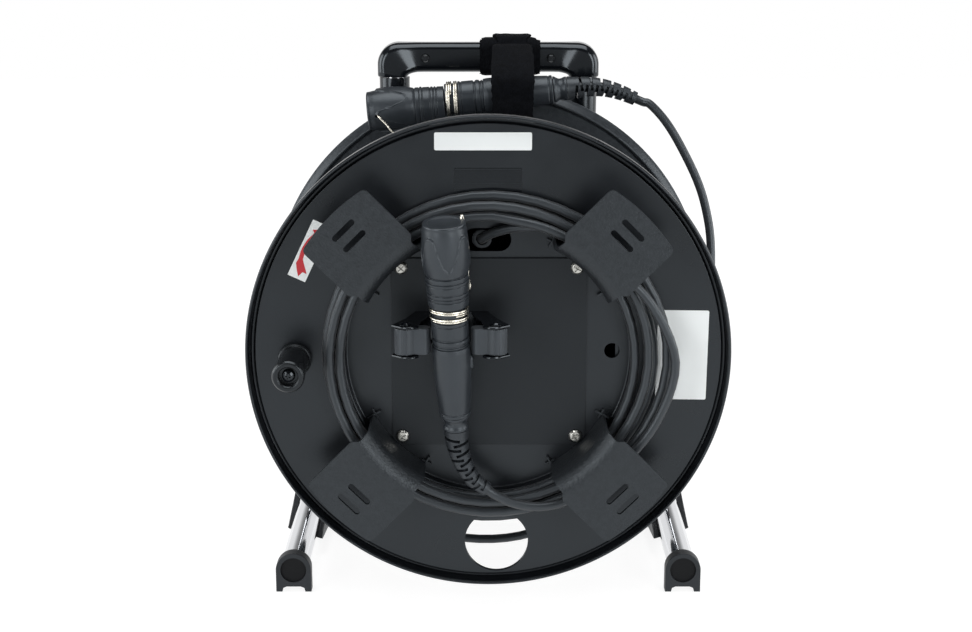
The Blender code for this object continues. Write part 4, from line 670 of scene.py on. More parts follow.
U_SHAPE = ((0.0, 27.9), (5.0, 27.3), (11.8, 25.3), (21.0, 18.6), (29.0, 12.0),
           (34.0, 7.9), (39.0, 6.6), (45.0, 6.4))
CAP_SIDE = ((0.0130, 0.0002), (0.0136, 0.0008), (0.0141, 0.0020), (0.0146, 0.0050),
            (0.0150, 0.0090), (0.0153, 0.0140), (0.0153, 0.0190), (0.0150, 0.0230),
            (0.0145, 0.0270), (0.0138, 0.0306), (0.0134, 0.0322), (0.0129, 0.0328))


def between(table, value):
    """Interpolate a value in a table of pairs."""
    for (a, s), (b, t) in zip(table, table[1:]):
        if a <= value <= b:
            return s + (t - s) * (value - a) / (b - a)
    return table[-1][1]


def dust_cap(name, place, grip_angle, hole_angle):
    """A cap with four moulded finger grips, and a grooved skirt."""
    around = 260
    down = 64
    by_depth = [(s, r) for r, s in CAP_SIDE]
    outline = []
    for index in range(down + 1):
        share = index / down
        s = 0.0002 + (0.0328 - 0.0002) * share ** (1.25 if share < 0.5 else 1.0)
        outline.append((between(by_depth, s), s))
    outline.sort(key=lambda point: point[1])
    vertices, faces = [], []
    for k in range(around):
        angle = 2 * math.pi * k / around
        offset = abs((math.degrees(angle) - grip_angle + 45) % 90 - 45)
        edge = between(U_SHAPE, offset) * 0.001
        for r, s in outline:
            inside = min(1.0, max(0.0, (edge - s) / 0.0012 + 0.5))
            ridge = math.exp(-((edge - s + 0.0007) / 0.00055) ** 2)
            sunk = 0.00085 * inside * inside * (3 - 2 * inside)
            fade = min(1.0, s / 0.0020)
            radius = r - fade * sunk + fade * 0.00030 * ridge
            vertices.append((radius * math.cos(angle), radius * math.sin(angle), s))
    count = len(outline)
    for k in range(around):
        after = (k + 1) % around
        for i in range(count - 1):
            faces.append((k * count + i, after * count + i, after * count + i + 1,
                          k * count + i + 1))
    mesh = bpy.data.meshes.new(name)
    mesh.from_pydata(vertices, [], faces)
    cap = link(name, mesh, place)
    top = lathe("top", rounded([(0.0, 0.0006), (0.0098, 0.0006), (0.0102, 0.0, 0.0002),
                                (0.0126, 0.0, 0.0004), (0.0130, 0.0002)], 0.0002, 3,
                               closed=False), place, around)
    skirt = rounded([(0.0129, 0.0328), (0.0126, 0.0331), (0.0126, 0.0334), (0.0133, 0.0337),
                     (0.0133, 0.0361), (0.0128, 0.0363), (0.0128, 0.0366), (0.0136, 0.0370),
                     (0.0136, 0.0382), (0.0128, 0.0385), (0.0128, 0.0389), (0.0131, 0.0392),
                     (0.0130, 0.0435), (0.0124, 0.0438), (0.0124, 0.0443), (0.0130, 0.0446),
                     (0.0130, 0.0459), (0.0123, 0.0462), (0.0123, 0.0467), (0.0129, 0.0470),
                     (0.0129, 0.0479), (0.0122, 0.0482), (0.0122, 0.0487), (0.0127, 0.0490),
                     (0.0125, 0.0534), (0.0, 0.0534)], 0.0003, 3, closed=False)
    merge(cap, [top, lathe("skirt", skirt, place, around)])
    tidy(cap, 0.00004)
    if hole_angle is not None:
        a = math.radians(hole_angle)
        out = Vector((math.cos(a), math.sin(a), 0))
        spot = place @ Matrix.Translation(out * 0.0105 + Vector((0, 0, 0.0066)))
        turned = out.to_track_quat('Z', 'Y').to_matrix().to_4x4()
        cap = combine(cap, [rod("wire_hole", 0.0012, 0.01, spot @ turned, 24)])
    return cap


def shell(name, place):
    """The body: plug, ring grooves, a barrel that tapers, and its thumb slide."""
    outline = rounded([(0.0, 0.0538), (0.0106, 0.0538), (0.0106, 0.0629),
                       (0.0117, 0.0633, 0.0005), (0.0117, 0.0646), (0.0110, 0.0649),
                       (0.0110, 0.0655), (0.0115, 0.0658), (0.0115, 0.0738),
                       (0.0106, 0.0742), (0.0106, 0.0750), (0.0114, 0.0754),
                       (0.0116, 0.0766, 0.001), (0.0114, 0.0780), (0.0106, 0.0784),
                       (0.0106, 0.0791), (0.0112, 0.0794), (0.0112, 0.0801),
                       (0.0107, 0.0803), (0.0107, 0.0806), (0.0117, 0.0809, 0.0006),
                       (0.0121, 0.0835, 0.004), (0.0121, 0.0940, 0.03),
                       (0.0113, 0.1090, 0.03), (0.0100, 0.1252, 0.003), (0.0096, 0.1258),
                       (0.0096, 0.1262), (0.0101, 0.1266, 0.0004), (0.0101, 0.1281, 0.0004),
                       (0.0094, 0.1285), (0.0, 0.1285)], 0.00035, 5, closed=False)
    body = lathe(name, outline, place)
    lug_loop = rounded([(-0.0040, 0.0872), (0.0040, 0.0872), (0.0040, 0.0972),
                        (-0.0040, 0.0972)], 0.0038, 8)
    turn = place @ ALONG_X
    lug = slab("lug", [lug_loop], 0.0130, turn @ Matrix.Translation((0, 0, 0.0067)), 0.0012)
    ribs = [slab("rib", [[(-0.0026, s), (0.0026, s), (0.0026, s + 0.0008),
                          (-0.0026, s + 0.0008)]], 0.0008,
                 turn @ Matrix.Translation((0, 0, 0.0131))) for s in (0.0900, 0.0920, 0.0940)]
    return merge(body, [lug] + ribs)


def collar(name, place):
    """The waisted neck between the body and the boot."""
    outline = rounded([(0.0, 0.1288), (0.0092, 0.1288, 0.0005), (0.0090, 0.1300, 0.001),
                       (0.0078, 0.1318, 0.002), (0.0072, 0.1334, 0.002),
                       (0.0075, 0.1352, 0.002), (0.0082, 0.1368, 0.0015), (0.0083, 0.1382),
                       (0.0, 0.1382)], 0.0003, 6, closed=False)
    return lathe(name, outline, place, 72)


def boot(name, path, count=12):
    """A tapered strain relief, slit from one side and then from the other."""
    wide, thin = 0.0082, 0.0047
    points = smooth(path, 6)
    whole = length_of(points)
    travelled = [0.0]
    for a, b in zip(points, points[1:]):
        travelled.append(travelled[-1] + (b - a).length)
    taper = [1.0 + (thin / wide - 1.0) * (t / whole) ** 0.8 for t in travelled]
    relief = tube(name, points, wide, 10, taper)
    lean = Matrix.Rotation(math.radians(9), 4, 'Y')
    slits = []
    for index in range(count):
        goal = 0.0064 + (whole - 0.0064 - 0.0036) * index / (count - 1)
        k = max(i for i in range(len(points) - 1) if travelled[i] <= goal)
        share = (goal - travelled[k]) / (travelled[k + 1] - travelled[k])
        centre = points[k].lerp(points[k + 1], share)
        run = (points[k + 1] - points[k]).normalized()
        across = run.cross(Vector((0, 1, 0))).normalized()
        way = across if index % 2 else -across
        radius = wide * (1.0 + (thin / wide - 1.0) * (goal / whole) ** 0.8)
        turn = Matrix((way, run.cross(way), run)).transposed().to_4x4() @ lean
        low, high = -0.30 * radius, radius + 0.002
        loop = [(low, -0.012), (high, -0.012), (high, 0.012), (low, 0.012)]
        slits.append(slab("slit", [loop], 0.0020, Matrix.Translation(centre) @ turn))
    relief = combine(relief, slits)
    core = tube("core", points[2:-1], 0.0036, 4)
    return merge(relief, [core])


def coiled_wire(name, place):
    """The lanyard's strands, wound twice round the neck with a space between."""
    strands = []
    for start, turns, tilt in ((0.0551, 2.2, 0.0009), (0.0603, 1.4, 0.0006)):
        points = []
        for index in range(int(turns * 48) + 1):
            a = 2 * math.pi * index / 48
            s = start + 0.00128 * index / 48 + tilt * math.cos(a + 0.4)
            r = 0.01165 + 0.00025 * math.sin(3 * a)
            points.append(place @ Vector((r * math.cos(a), r * math.sin(a), s)))
        strands.append(tube(name, points, 0.00060, 3))
    return merge(strands[0], strands[1:])


def connector_place(top, run):
    """A connector's place, from the top of its cap and the way that it runs."""
    run = Vector(run).normalized()
    across = run.cross(Vector((0, 1, 0))).normalized()
    basis = Matrix((across, run.cross(across), run)).transposed().to_4x4()
    return Matrix.Translation(at(*top)) @ basis


def boot_points(place, offsets):
    """The boot's route, straight out of the collar and then bent."""
    start = place @ Vector((0, 0, 0.1385))
    return [start, place @ Vector((0, 0, 0.1425))] + [start + Vector(o) for o in offsets]


def connector(prefix, body, place, boot_path, wire_path, grip_angle, hole_angle, drop=0.0):
    """A capped connector; returns the pieces that go with its cord."""
    cap_place = Matrix.Translation((0, 0, -drop)) @ place
    piece(dust_cap(f"{prefix}_dust_cap", cap_place, grip_angle, hole_angle), body, SOFT,
          [f"{prefix}_cap"], angle=50, weighted=False)
    piece(shell(f"{prefix}_shell", place), body, SOFT, [f"{prefix}_body"])
    piece(collar(f"{prefix}_neck", place), body, SOFT, [f"{prefix}_collar"])
    relief = piece(boot(f"{prefix}_strain_relief", boot_path), body, BOOT,
                   [f"{prefix}_boot"], angle=40)
    piece(coiled_wire(f"{prefix}_wire_coil", place), body, WIRE,
          [f"{prefix}_lanyard_ring"], weighted=False)
    piece(tube(f"{prefix}_wire", smooth(wire_path, 6), 0.0006, 3), body, WIRE,
          [f"{prefix}_lanyard_wire"], weighted=False)
    return [relief]


HOLD = 0.0786
INNER_RUN = (0.0470, 0.1478, -0.9879)
INNER_TOP = (-0.0232 - HOLD * INNER_RUN[0], -0.0255 - HOLD * INNER_RUN[1],
             0.01725 - HOLD * INNER_RUN[2])
INNER_PLACE = connector_place(INNER_TOP, INNER_RUN)
INNER_BOOT = boot_points(INNER_PLACE, ((0.0008, 0.0015, -0.0115), (0.0040, 0.0027, -0.0231),
                                       (0.0102, 0.0037, -0.0350), (0.0194, 0.0047, -0.0426)))
OUTER_TOP = (-0.0833, 0.1370, 0.1425)
OUTER_PLACE = connector_place(OUTER_TOP, (1, 0, 0.0900))
OUTER_BOOT = boot_points(OUTER_PLACE, ((0.0130, 0.0, 0.0011), (0.0245, 0.0, 0.0005),
                                       (0.0363, 0.0, -0.0026), (0.0472, -0.0005, -0.0071)))

INNER_WIRE = [INNER_PLACE @ Vector(p) for p in
              ((0.0105, -0.0052, 0.0570), (0.0118, -0.0062, 0.0500), (0.0137, -0.0018, 0.0432),
               (0.0128, -0.0060, 0.0375), (0.0134, -0.0080, 0.0300), (0.0139, -0.0080, 0.0200),
               (0.0130, -0.0080, 0.0080), (0.0118, -0.0072, 0.0010), (0.0110, -0.0064, -0.0018),
               (0.0104, -0.0050, 0.0002))]
OUTER_WIRE = [at(*OUTER_TOP) + Vector(p) for p in
              ((0.0068, -0.0128, -0.0035), (0.0088, -0.0164, -0.0056),
               (0.0128, -0.0170, -0.0096), (0.0188, -0.0164, -0.0166),
               (0.0278, -0.0130, -0.0210), (0.0393, -0.0090, -0.0210),
               (0.0505, -0.0075, -0.0135), (0.0565, -0.0055, -0.0072))]


# Leads

def cable(name, body, points, node):
    """A lead that is kept as a curve."""
    lead = tube(name, points, 0.003, 4, keep_curve=True)
    lead.data.materials.append(CABLE)
    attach(lead, body)
    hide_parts(node)


def coil_point(turns, back_layer, front_layer):
    """A point of the coil: out in the back layer, then in again in the front one."""
    angle = math.radians(58) - 2 * math.pi * turns
    climb = min(1.0, max(0.0, (turns - 2.0 + 0.25) / 0.5))
    depth = back_layer + (front_layer - back_layer) * climb * climb * (3 - 2 * climb)
    wound = 0.0068 * (2.0 - abs(turns - 2.0))
    wrapped = math.atan2(math.sin(angle), math.cos(angle))
    bulge = 0.75 * math.exp(-(wrapped / math.radians(42)) ** 2)
    radius = 0.0918 + wound * (1 + bulge)
    return at(radius * math.cos(angle), depth, radius * math.sin(angle))


def inner_lead():
    """From the clamp behind the floor, round the coil, and across to the inner boot."""
    back_layer, front_layer, top = 0.0009, -0.0058, -0.0125
    x, z = -0.0040, 0.0740
    tail = (at(x, 0.0238, z), at(x, 0.0185, z), at(x, 0.0138, z),
            at(x + 0.0014, 0.0114, z + 0.0014), at(x + 0.0065, 0.0075, z + 0.0050),
            at(x + 0.0160, 0.0042, z + 0.0083), at(x + 0.0265, 0.0014, z + 0.0102),
            at(x + 0.0385, back_layer, z + 0.0100))
    coil = [coil_point(index / 48, back_layer, front_layer) for index in range(189)]
    boot_end = INNER_BOOT[-1]
    run = (INNER_BOOT[-1] - INNER_BOOT[-2]).normalized()
    away = ((68, 0.0925, -0.0085), (52, 0.0945, top + 0.0010), (37, 0.0995, top),
            (20, 0.1090, top), (0, 0.1180, top), (-20, 0.1140, top), (-40, 0.1085, top),
            (-58, 0.1056, top), (-69, 0.1030, top), (-79.5, 0.0960, top))
    over = [at(r * math.cos(math.radians(a)), depth, r * math.sin(math.radians(a)))
            for a, r, depth in away]
    front = smooth([coil[-1]] + over + [boot_end + run * 0.006], 5)
    points = smooth(tail, 4) + coil + front[1:] + [boot_end + run * GAP]
    cable("coiled_lead", "drum", points, "inner_lead")


def outer_lead():
    """From the pack, under the drum and up its right side to the outer boot."""
    boot_end = OUTER_BOOT[-1]
    run = (OUTER_BOOT[-1] - OUTER_BOOT[-2]).normalized()
    lane = 0.0653
    circle = 0.1100 / math.cos(math.pi / 36) + 0.0033
    free = ((0.1122, 0.965, 0.1440), (0.1224, 0.916, 0.1331), (0.1327, 0.875, 0.1169),
            (0.1445, 0.805, 0.0933), (0.1508, 0.735, 0.0731), (0.1540, 0.651, 0.0500),
            (0.1530, 0.554, 0.0180), (0.1450, 0.456, -0.0200), (0.1290, 0.345, -0.0620),
            (0.1030, 0.247, -0.1000), (0.0660, 0.163, -0.1310), (0.0220, 0.093, -0.1490),
            (-0.0250, 0.052, -0.1480), (-0.0680, 0.024, -0.1290),
            (-0.1000, 0.007, -0.0930), (-0.1150, 0.003, -0.0480))
    lay = [at(circle * math.cos(math.radians(a)), lane, circle * math.sin(math.radians(a)))
           for a in range(180, 14, -5)]
    path = smooth([boot_end + run * 0.006]
                  + [at(x, lane + share * (0.137 - lane), z) for x, share, z in free]
                  + lay[:1], 5)
    points = ([boot_end + run * GAP] + path + lay[1:])[::-1]
    cable("free_lead", "frame", points, "outer_lead")


def gland():
    """The clamp where the inner lead comes out of the pack."""
    outline = rounded([(0.0036, 0.0), (0.0065, 0.0, 0.001), (0.0065, 0.0060), (0.0055, 0.0100),
                       (0.0036, 0.0100)], 0.0004, 4)
    piece(lathe("lead_clamp", outline, placed(-0.0040, 0.0138, 0.0740, ALONG_Y), 48),
          "drum", GRIP, ["lead_gland"])


# Clip

def clip():
    """The bracket with its arms, and on each side a rivet and a jaw."""
    x, pin_y = -0.0232, -0.0255
    low, high = 0.0096, 0.0265
    middle = (low + high) / 2
    web = block("clip_frame", (0.0470, 0.0020, 0.0199), placed(x, 0.0078, middle))
    parts = []
    for side in (-1, 1):
        for height, way in ((low - 0.0009, -1), (high + 0.0009, 1)):
            outline = [(0.0120, 0.0078), (0.0150, -0.0060), (0.0185, -0.0150),
                       (0.0205, pin_y - 0.0030), (0.0235, pin_y - 0.0082),
                       (0.0290, pin_y - 0.0078), (0.0368, pin_y - 0.0012, 0.0004),
                       (0.0350, pin_y + 0.0030), (0.0290, -0.0100), (0.0235, 0.0078)]
            loop = rounded([(side * u, v, *rest) for u, v, *rest in outline][::side],
                           0.0024, 5)
            parts.append(slab("arm", [loop], 0.0012, placed(x, 0, height), 0.0003, 2))
            edge = [Vector((side * u, v, 0)) for u, v in
                    ((0.0205, pin_y - 0.0040), (0.0238, pin_y - 0.0076),
                     (0.0288, pin_y - 0.0073), (0.0330, pin_y - 0.0040),
                     (0.0362, pin_y - 0.0014))]
            rail = [placed(x, 0, height + way * 0.0002) @ p for p in smooth(edge, 5)]
            parts.append(tube("lip", rail, 0.00085, 3))
        wall = block("wall", (0.0014, 0.0160, 0.0186), placed(x + side * 0.0210, 0.0005, middle))
        parts.append(wall)
    piece(merge(web, parts), "drum", GLOSS, ["clip_bracket"])
    for label, side in (("left", -1), ("right", 1)):
        place = placed(x + side * 0.0282, pin_y, 0)
        top, bottom = high + 0.0015, low - 0.0015
        pin = lathe(f"clip_rivet_{label}",
                    rounded([(0.0, top + 0.0017), (0.0018, top + 0.0015, 0.0008),
                             (0.0030, top + 0.0006, 0.0004), (0.0040, top + 0.0003, 0.0002),
                             (0.0040, top), (0.0014, top), (0.0014, bottom),
                             (0.0036, bottom), (0.0030, bottom - 0.0012, 0.0006),
                             (0.0010, bottom - 0.0026, 0.0006), (0.0, bottom - 0.0028)],
                            0.0002, 4, closed=False), place, 40)
        piece(pin, "drum", GLOSS, [f"clip_pin_{label}"])
        jaw(label, side, x, pin_y, middle, high - low)


def jaw(label, side, x, pin_y, middle, height):
    """A rubber pad with a big lobe round its pin and a small one towards the connector."""
    big, small = 0.0070, 0.0053
    pin, inner = (side * 0.0282, pin_y), (side * 0.0178, pin_y)
    turn = 0 if side < 0 else 180
    waist = 0.0047 if side < 0 else -0.0047
    neck = pin[0] - side * 0.0054
    loop = (arc(pin, big, turn + 50, turn + 310, 28) + [(neck, pin_y - waist)]
            + arc(inner, small, turn - 75, turn + 75, 14) + [(neck, pin_y + waist)])
    shape = slab(f"jaw_pad_{label}", [loop], height - 0.0002, placed(x, 0, middle), 0.0007)
    flutes = []
    for degrees in (208, 232, 256, 280):
        a = math.radians(degrees if side < 0 else 540 - degrees)
        spot = (x + pin[0] + (big + 0.0004) * math.cos(a), pin_y + (big + 0.0004) * math.sin(a))
        flutes.append(rod("flute", 0.0007, 0.03, placed(spot[0], spot[1], 0.0020), 12))
    shape = combine(shape, flutes)
    piece(shape, f"jaw_{label}", JAW, [f"clip_jaw_{label}"])


# Stand and handle

def stand():
    """The bent tubes, with the black sleeves under the handle, and their feet."""
    spread, tube_height = 0.1314, 0.0155 - 0.172
    for side, label in ((-1, "left"), (1, "right")):
        corners = [at(side * spread, 0.0308, tube_height), at(side * spread, 0.180, tube_height),
                   at(side * 0.0668, 0.180, 0.095), at(side * 0.0668, 0.180, 0.1757)]
        leg = tube(f"stand_tube_{label}", bent_path(corners, (0.040, 0.060), 24), 0.0095, 14)
        piece(leg, "frame", CHROME, [f"frame_tube_{label}"], angle=60,
              weighted=False)
        sleeve = lathe(f"tube_sleeve_{label}",
                       rounded([(0.0097, 0.1275, 0.0005), (0.0106, 0.1275, 0.0005),
                                (0.0108, 0.1583, 0.0003), (0.0097, 0.1583)], 0.0002, 3),
                       placed(side * 0.0668, 0.180, 0), 64)
        piece(sleeve, "frame", GLOSS, ())
        front_foot(side, label, spread, tube_height)
        rear_foot(side, label, spread, tube_height)


def front_foot(side, label, spread, tube_height):
    """An arched cap over the tube's end, with a plug sunk in its face."""
    bottom = -0.0155
    arch = [(-0.00775, bottom), (-0.0071, bottom + 0.0026), (-0.0048, bottom + 0.0036),
            (0.0048, bottom + 0.0036), (0.0071, bottom + 0.0026), (0.00775, bottom)]
    loop = arc((0, 0), 0.0119, 0, 180, 32)
    loop += [(-0.0119, bottom + 0.002), (-0.0119, bottom)] + arch
    loop += [(0.0119, bottom), (0.0119, bottom + 0.002)]
    x = side * spread
    cap = slab(f"foot_cap_{label}", [loop], 0.009,
               placed(x, 0.0315, tube_height, FACING), 0.0006, 3)
    recess = lathe("recess", [(0, 0.020), (0.0091, 0.020), (0.0086, 0.0292), (0, 0.0292)],
                   placed(x, 0, tube_height, ALONG_Y), 64)
    socket = rod("socket", 0.0097, 0.02, placed(x, 0.0305, tube_height, ALONG_Y), 64)
    cap = combine(cap, [recess, socket])
    piece(cap, "frame", FOOT, [f"front_foot_{label}"])
    plug = lathe(f"foot_plug_{label}", [(0, 0.0285), (0.0086, 0.0285), (0.0086, 0.0295),
                                        (0, 0.0295)], placed(x, 0, tube_height, ALONG_Y), 64)
    piece(plug, "frame", DULL, ())


def rear_foot(side, label, spread, tube_height):
    """A shoe whose two pointed noses lie beside the tube."""
    floor = -0.0155
    tip, back = floor + 0.0125, floor + 0.022
    view = rounded([(0.1032, tip, 0.0006), (0.113, tip - 0.0033, 0.01),
                    (0.138, floor + 0.003, 0.01), (0.150, floor, 0.004), (0.200, floor, 0.001),
                    (0.200, back, 0.003), (0.188, back + 0.004, 0.003),
                    (0.150, tip + 0.006, 0.02), (0.113, tip + 0.002, 0.01)], 0.001, 5)
    x = side * spread
    shoe = slab(f"shoe_{label}", [view], 0.0268, placed(x, 0, tube_height, ALONG_X), 0.0012)
    for vertex in shoe.data.vertices:
        if vertex.co.x < 0.130:
            vertex.co.x += 0.8 * side * vertex.co.z
    corners = [at(x, 0.027, tube_height), at(x, 0.180, tube_height),
               at(side * 0.0668, 0.180, 0.095), at(side * 0.0668, 0.180, 0.176)]
    seat = tube("shoe_seat", bent_path(corners, (0.040, 0.060), 16), 0.0098, 8)
    shoe = combine(shoe, [seat])
    piece(shoe, "frame", FOOT, [f"rear_foot_{label}"])


HANDLE_DEPTH = 0.0080


def handle_half(name, sign):
    """One moulded half, lofted from leg to leg between its outer and inner lines."""
    side, top, foot, corner = 0.0784, 0.1828, 0.1588, 0.0150

    def inside(q):
        a, b, c = Vector((-0.0575, foot)), Vector((-0.0572, 0.1616)), Vector((-0.0500, 0.1620))
        return a * (1 - q) ** 2 + b * 2 * q * (1 - q) + c * q * q

    left = []
    for height, share in ((0.0, 0.90), (0.0005, 0.965), (0.0013, 1.0), (0.0045, 1.0),
                          (0.0075, 1.0)):
        left.append((Vector((-side, foot + height)), inside(height * 8), share))
    for i in range(15):
        a = math.radians(180 - 90 * i / 14)
        outer = Vector((-side + corner + corner * math.cos(a), top - corner
                        + corner * math.sin(a)))
        left.append((outer, inside(0.07 + 0.78 * i / 14), 1.0))
    for i in range(1, 15):
        x = -(side - corner) * (1 - i / 14)
        start = inside(0.93) if i == 1 else Vector((-0.0500 * (14 - i) / 12, 0.1620))
        left.append((Vector((x, top)), start, 1.0))
    mirror = [(Vector((-o.x, o.y)), Vector((-n.x, n.y)), share) for o, n, share in left]
    stations = left + mirror[::-1][1:]
    rows = []
    for outer, inner, share in stations:
        middle, run = (outer + inner) / 2, (outer - inner).normalized()
        half = (outer - inner).length / 2 * share
        ease = min(1.0, max(0.0, (abs(middle.x) - 0.046) / 0.022))
        deep = (HANDLE_DEPTH + 0.0045 * ease * ease * (3 - 2 * ease)) * share
        far, near = 0.0058, 0.0050
        section = [(half - 0.0003, 0.00010), (half, 0.0004)]
        section += [(half - far + far * math.cos(a), deep - far + far * math.sin(a))
                    for a in [math.pi / 2 * k / 9 for k in range(10)]]
        section += [(-half + near - near * math.sin(a), deep - near + near * math.cos(a))
                    for a in [math.pi / 2 * k / 8 for k in range(9)]]
        section += [(-half, 0.0004), (-half + 0.0003, 0.00010)]
        rows.append([at(middle.x + run.x * u, 0.180 + sign * v, middle.y + run.y * u)
                     for u, v in section])
    size = len(rows[0])
    faces = [(i * size + k, i * size + (k + 1) % size, (i + 1) * size + (k + 1) % size,
              (i + 1) * size + k) for i in range(len(rows) - 1) for k in range(size)]
    faces.append(tuple(range(size)))
    faces.append(tuple(range((len(rows) - 1) * size, len(rows) * size)))
    mesh = bpy.data.meshes.new(name)
    mesh.from_pydata([v for row in rows for v in row], [], faces)
    return tidy(link(name, mesh))


def handle():
    """Both halves, with round recesses for the screws in the front one."""
    for label, sign in (("front", -1), ("rear", 1)):
        half = handle_half(f"handle_half_{label}", sign)
        if sign < 0:
            half = combine(half, [
                lathe("recess", [(0, -0.01), (0.0033, -0.01), (0.0031, 0.0033), (0, 0.0033)],
                      placed(x, 0.1718, 0.1722, ALONG_Y), 48) for x in (-0.0445, 0.0445)])
        piece(half, "frame", GLOSS, [f"handle_{label}"], angle=40)


def crossbar():
    """The nodes that are seen as they are get broken edges."""
    for name in ("crossbar", "crossbar_rivet_left", "crossbar_rivet_right", "axle"):
        break_edges(NODES[name], 0.0006, 40)


# Strap

def ribbon(name, path, width, centre, thickness, wave=0.0, seed=0.0, narrow=None):
    """A strip of tape along a path in the YZ plane, with soft edges and a slight ripple."""
    across = 14
    count = len(path)
    rows = []
    travelled = 0.0
    for i, point in enumerate(path):
        before, after = path[max(i - 1, 0)], path[min(i + 1, count - 1)]
        run = (after - before).normalized()
        normal = Vector((run.y, -run.x))
        travelled += (point - path[max(i - 1, 0)]).length
        share = i / (count - 1)
        half = width / 2 * (narrow(share) if narrow else 1.0)
        row = []
        for side in (1, -1):
            for k in range(across + 1):
                u = (k / across * 2 - 1) * side
                edge = max(0.0, (abs(u) - 0.88) / 0.12)
                lift = side * thickness / 2 * math.sqrt(max(0.0, 1 - edge * edge))
                ripple = wave * noise.noise(Vector((u * 1.3 + seed, travelled * 70, seed)))
                fray = 0.0011 * noise.noise(Vector((seed * 3 + side, travelled * 320, u)))
                place = point + normal * (lift + ripple)
                row.append(Vector((centre + u * half + (fray if abs(u) > 0.98 else 0),
                                   RIM_Y + place.x, AXLE_HEIGHT + place.y)))
        rows.append(row)
    size = len(rows[0])
    vertices = [v for row in rows for v in row]
    faces = []
    for i in range(count - 1):
        for k in range(size):
            j = (k + 1) % size
            faces.append((i * size + k, (i + 1) * size + k, (i + 1) * size + j, i * size + j))
    faces.append(tuple(range(size)))
    faces.append(tuple(range((count - 1) * size, count * size)))
    mesh = bpy.data.meshes.new(name)
    mesh.from_pydata(vertices, [], faces)
    return tidy(link(name, mesh), 0.000005)


def rounded_box_path(left, right, bottom, top, radius, start, turns):
    """A path round a rounded box, clockwise seen from the right, in steps of 2 mm."""
    loop = [Vector(p) for p in
            arc((right - radius, top - radius), radius, 0, 90, 6)
            + arc((left + radius, top - radius), radius, 90, 180, 6)
            + arc((left + radius, bottom + radius), radius, 180, 270, 6)
            + arc((right - radius, bottom + radius), radius, 270, 360, 6)]
    dense = []
    for a, b in zip(loop, loop[1:] + loop[:1]):
        steps = max(1, int((b - a).length / 0.002))
        dense += [a.lerp(b, s / steps) for s in range(steps)]
    first = int(start * len(dense))
    total = int(turns * len(dense))
    return [dense[(first + i) % len(dense)] for i in range(total + 1)]


def strap():
    """Two laps round the handle, and the sling that carries the outer connector."""
    front, back = 0.180 - HANDLE_DEPTH - 0.0008, 0.180 + HANDLE_DEPTH + 0.0008
    top, bottom = 0.1831, 0.1612
    under = rounded_box_path(front - 0.0008, back + 0.0008, bottom - 0.0006, top + 0.0008,
                             0.006, 0.62, 0.98)
    first = piece(ribbon("strap_under_wrap", under, 0.0425, 0.0155, 0.0013, 0.0005, 3.0),
                  "frame", TAPE, ["strap_wrap"], angle=60, weighted=False)
    outer = rounded_box_path(front - 0.0019, back + 0.0019, bottom - 0.0011, top + 0.0023,
                             0.007, 0.10, 0.93)
    second = piece(ribbon("strap_over_wrap", outer, 0.0385, 0.0146, 0.0012, 0.0005, 7.0),
                   "frame", TAPE, (), angle=60, weighted=False)
    half = 0.0008 + GAP
    over, before, behind = top + 0.003 + half, front - 0.0022 - half, back + 0.0022 + half
    below = bottom - 0.0016 - half - 0.0006
    middle = 0.1370
    height = 0.1425 + 0.0900 * (0.0172 + 0.0833)
    reach = 0.0122 + half + 0.0900 * 0.0125 + GAP
    corners = [(behind - 0.005, over), (before + 0.005, over), (before, over - 0.006),
               (before - 0.012, height + 0.030), (middle - reach + 0.0006, height + 0.014),
               (middle - reach, height - 0.002),
               (middle - reach * 0.80, height - reach * 0.72 - 0.0030),
               (middle, height - reach - 0.0040),
               (middle + reach * 0.80, height - reach * 0.72 - 0.0030),
               (middle + reach, height), (middle + reach + 0.0002, below - 0.003),
               (middle + reach + 0.004, below), (behind - 0.006, below),
               (behind, below + 0.006), (behind, over - 0.006)]
    path = smooth(corners, 8, closed=True)
    path.append(path[0] + Vector((0.0002, 0.0)))

    def narrow(share):
        folded = 0.30 * math.exp(-((share - 0.10) / 0.055) ** 2)
        return 1.04 + 0.08 * math.exp(-((share - 0.27) / 0.07) ** 2) - folded

    loop = piece(ribbon("strap_sling", path, 0.0262, 0.0168, 0.0015, 0.0009, 1.0, narrow),
                 "frame", TAPE, ["strap_loop"], angle=60, weighted=False)


# Materials of the nodes that stay

def dress_nodes():
    """Finishes for the nodes that no piece stands for."""
    looks = {"axle": STEEL, "axle_spacer": STEEL, "axle_washer": STEEL,
             "retaining_ring": STEEL, "crossbar": POWDER, "crossbar_rivet_left": ZINC,
             "crossbar_rivet_right": ZINC, "bush_front": BRONZE, "bush_rear": BRONZE,
             "knob_nut": ZINC, "handle_screw_left": BLACKED, "handle_screw_right": BLACKED}
    for name, look in looks.items():
        NODES[name].data.materials.clear()
        NODES[name].data.materials.append(look)


# Floor, light and camera

def camera_white(nodes, links, plain, white):
    """Mix a shader with plain white where the camera, metal or glass looks at it."""
    rays = nodes.new("ShaderNodeLightPath")
    seen = maths(nodes, links, 'MAXIMUM', rays.outputs["Is Camera Ray"],
                 rays.outputs["Is Glossy Ray"])
    seen = maths(nodes, links, 'MAXIMUM', seen, rays.outputs["Is Transmission Ray"])
    mix = nodes.new("ShaderNodeMixShader")
    links.new(seen, mix.inputs["Fac"])
    links.new(plain, mix.inputs[1])
    links.new(white, mix.inputs[2])
    return mix.outputs["Shader"]


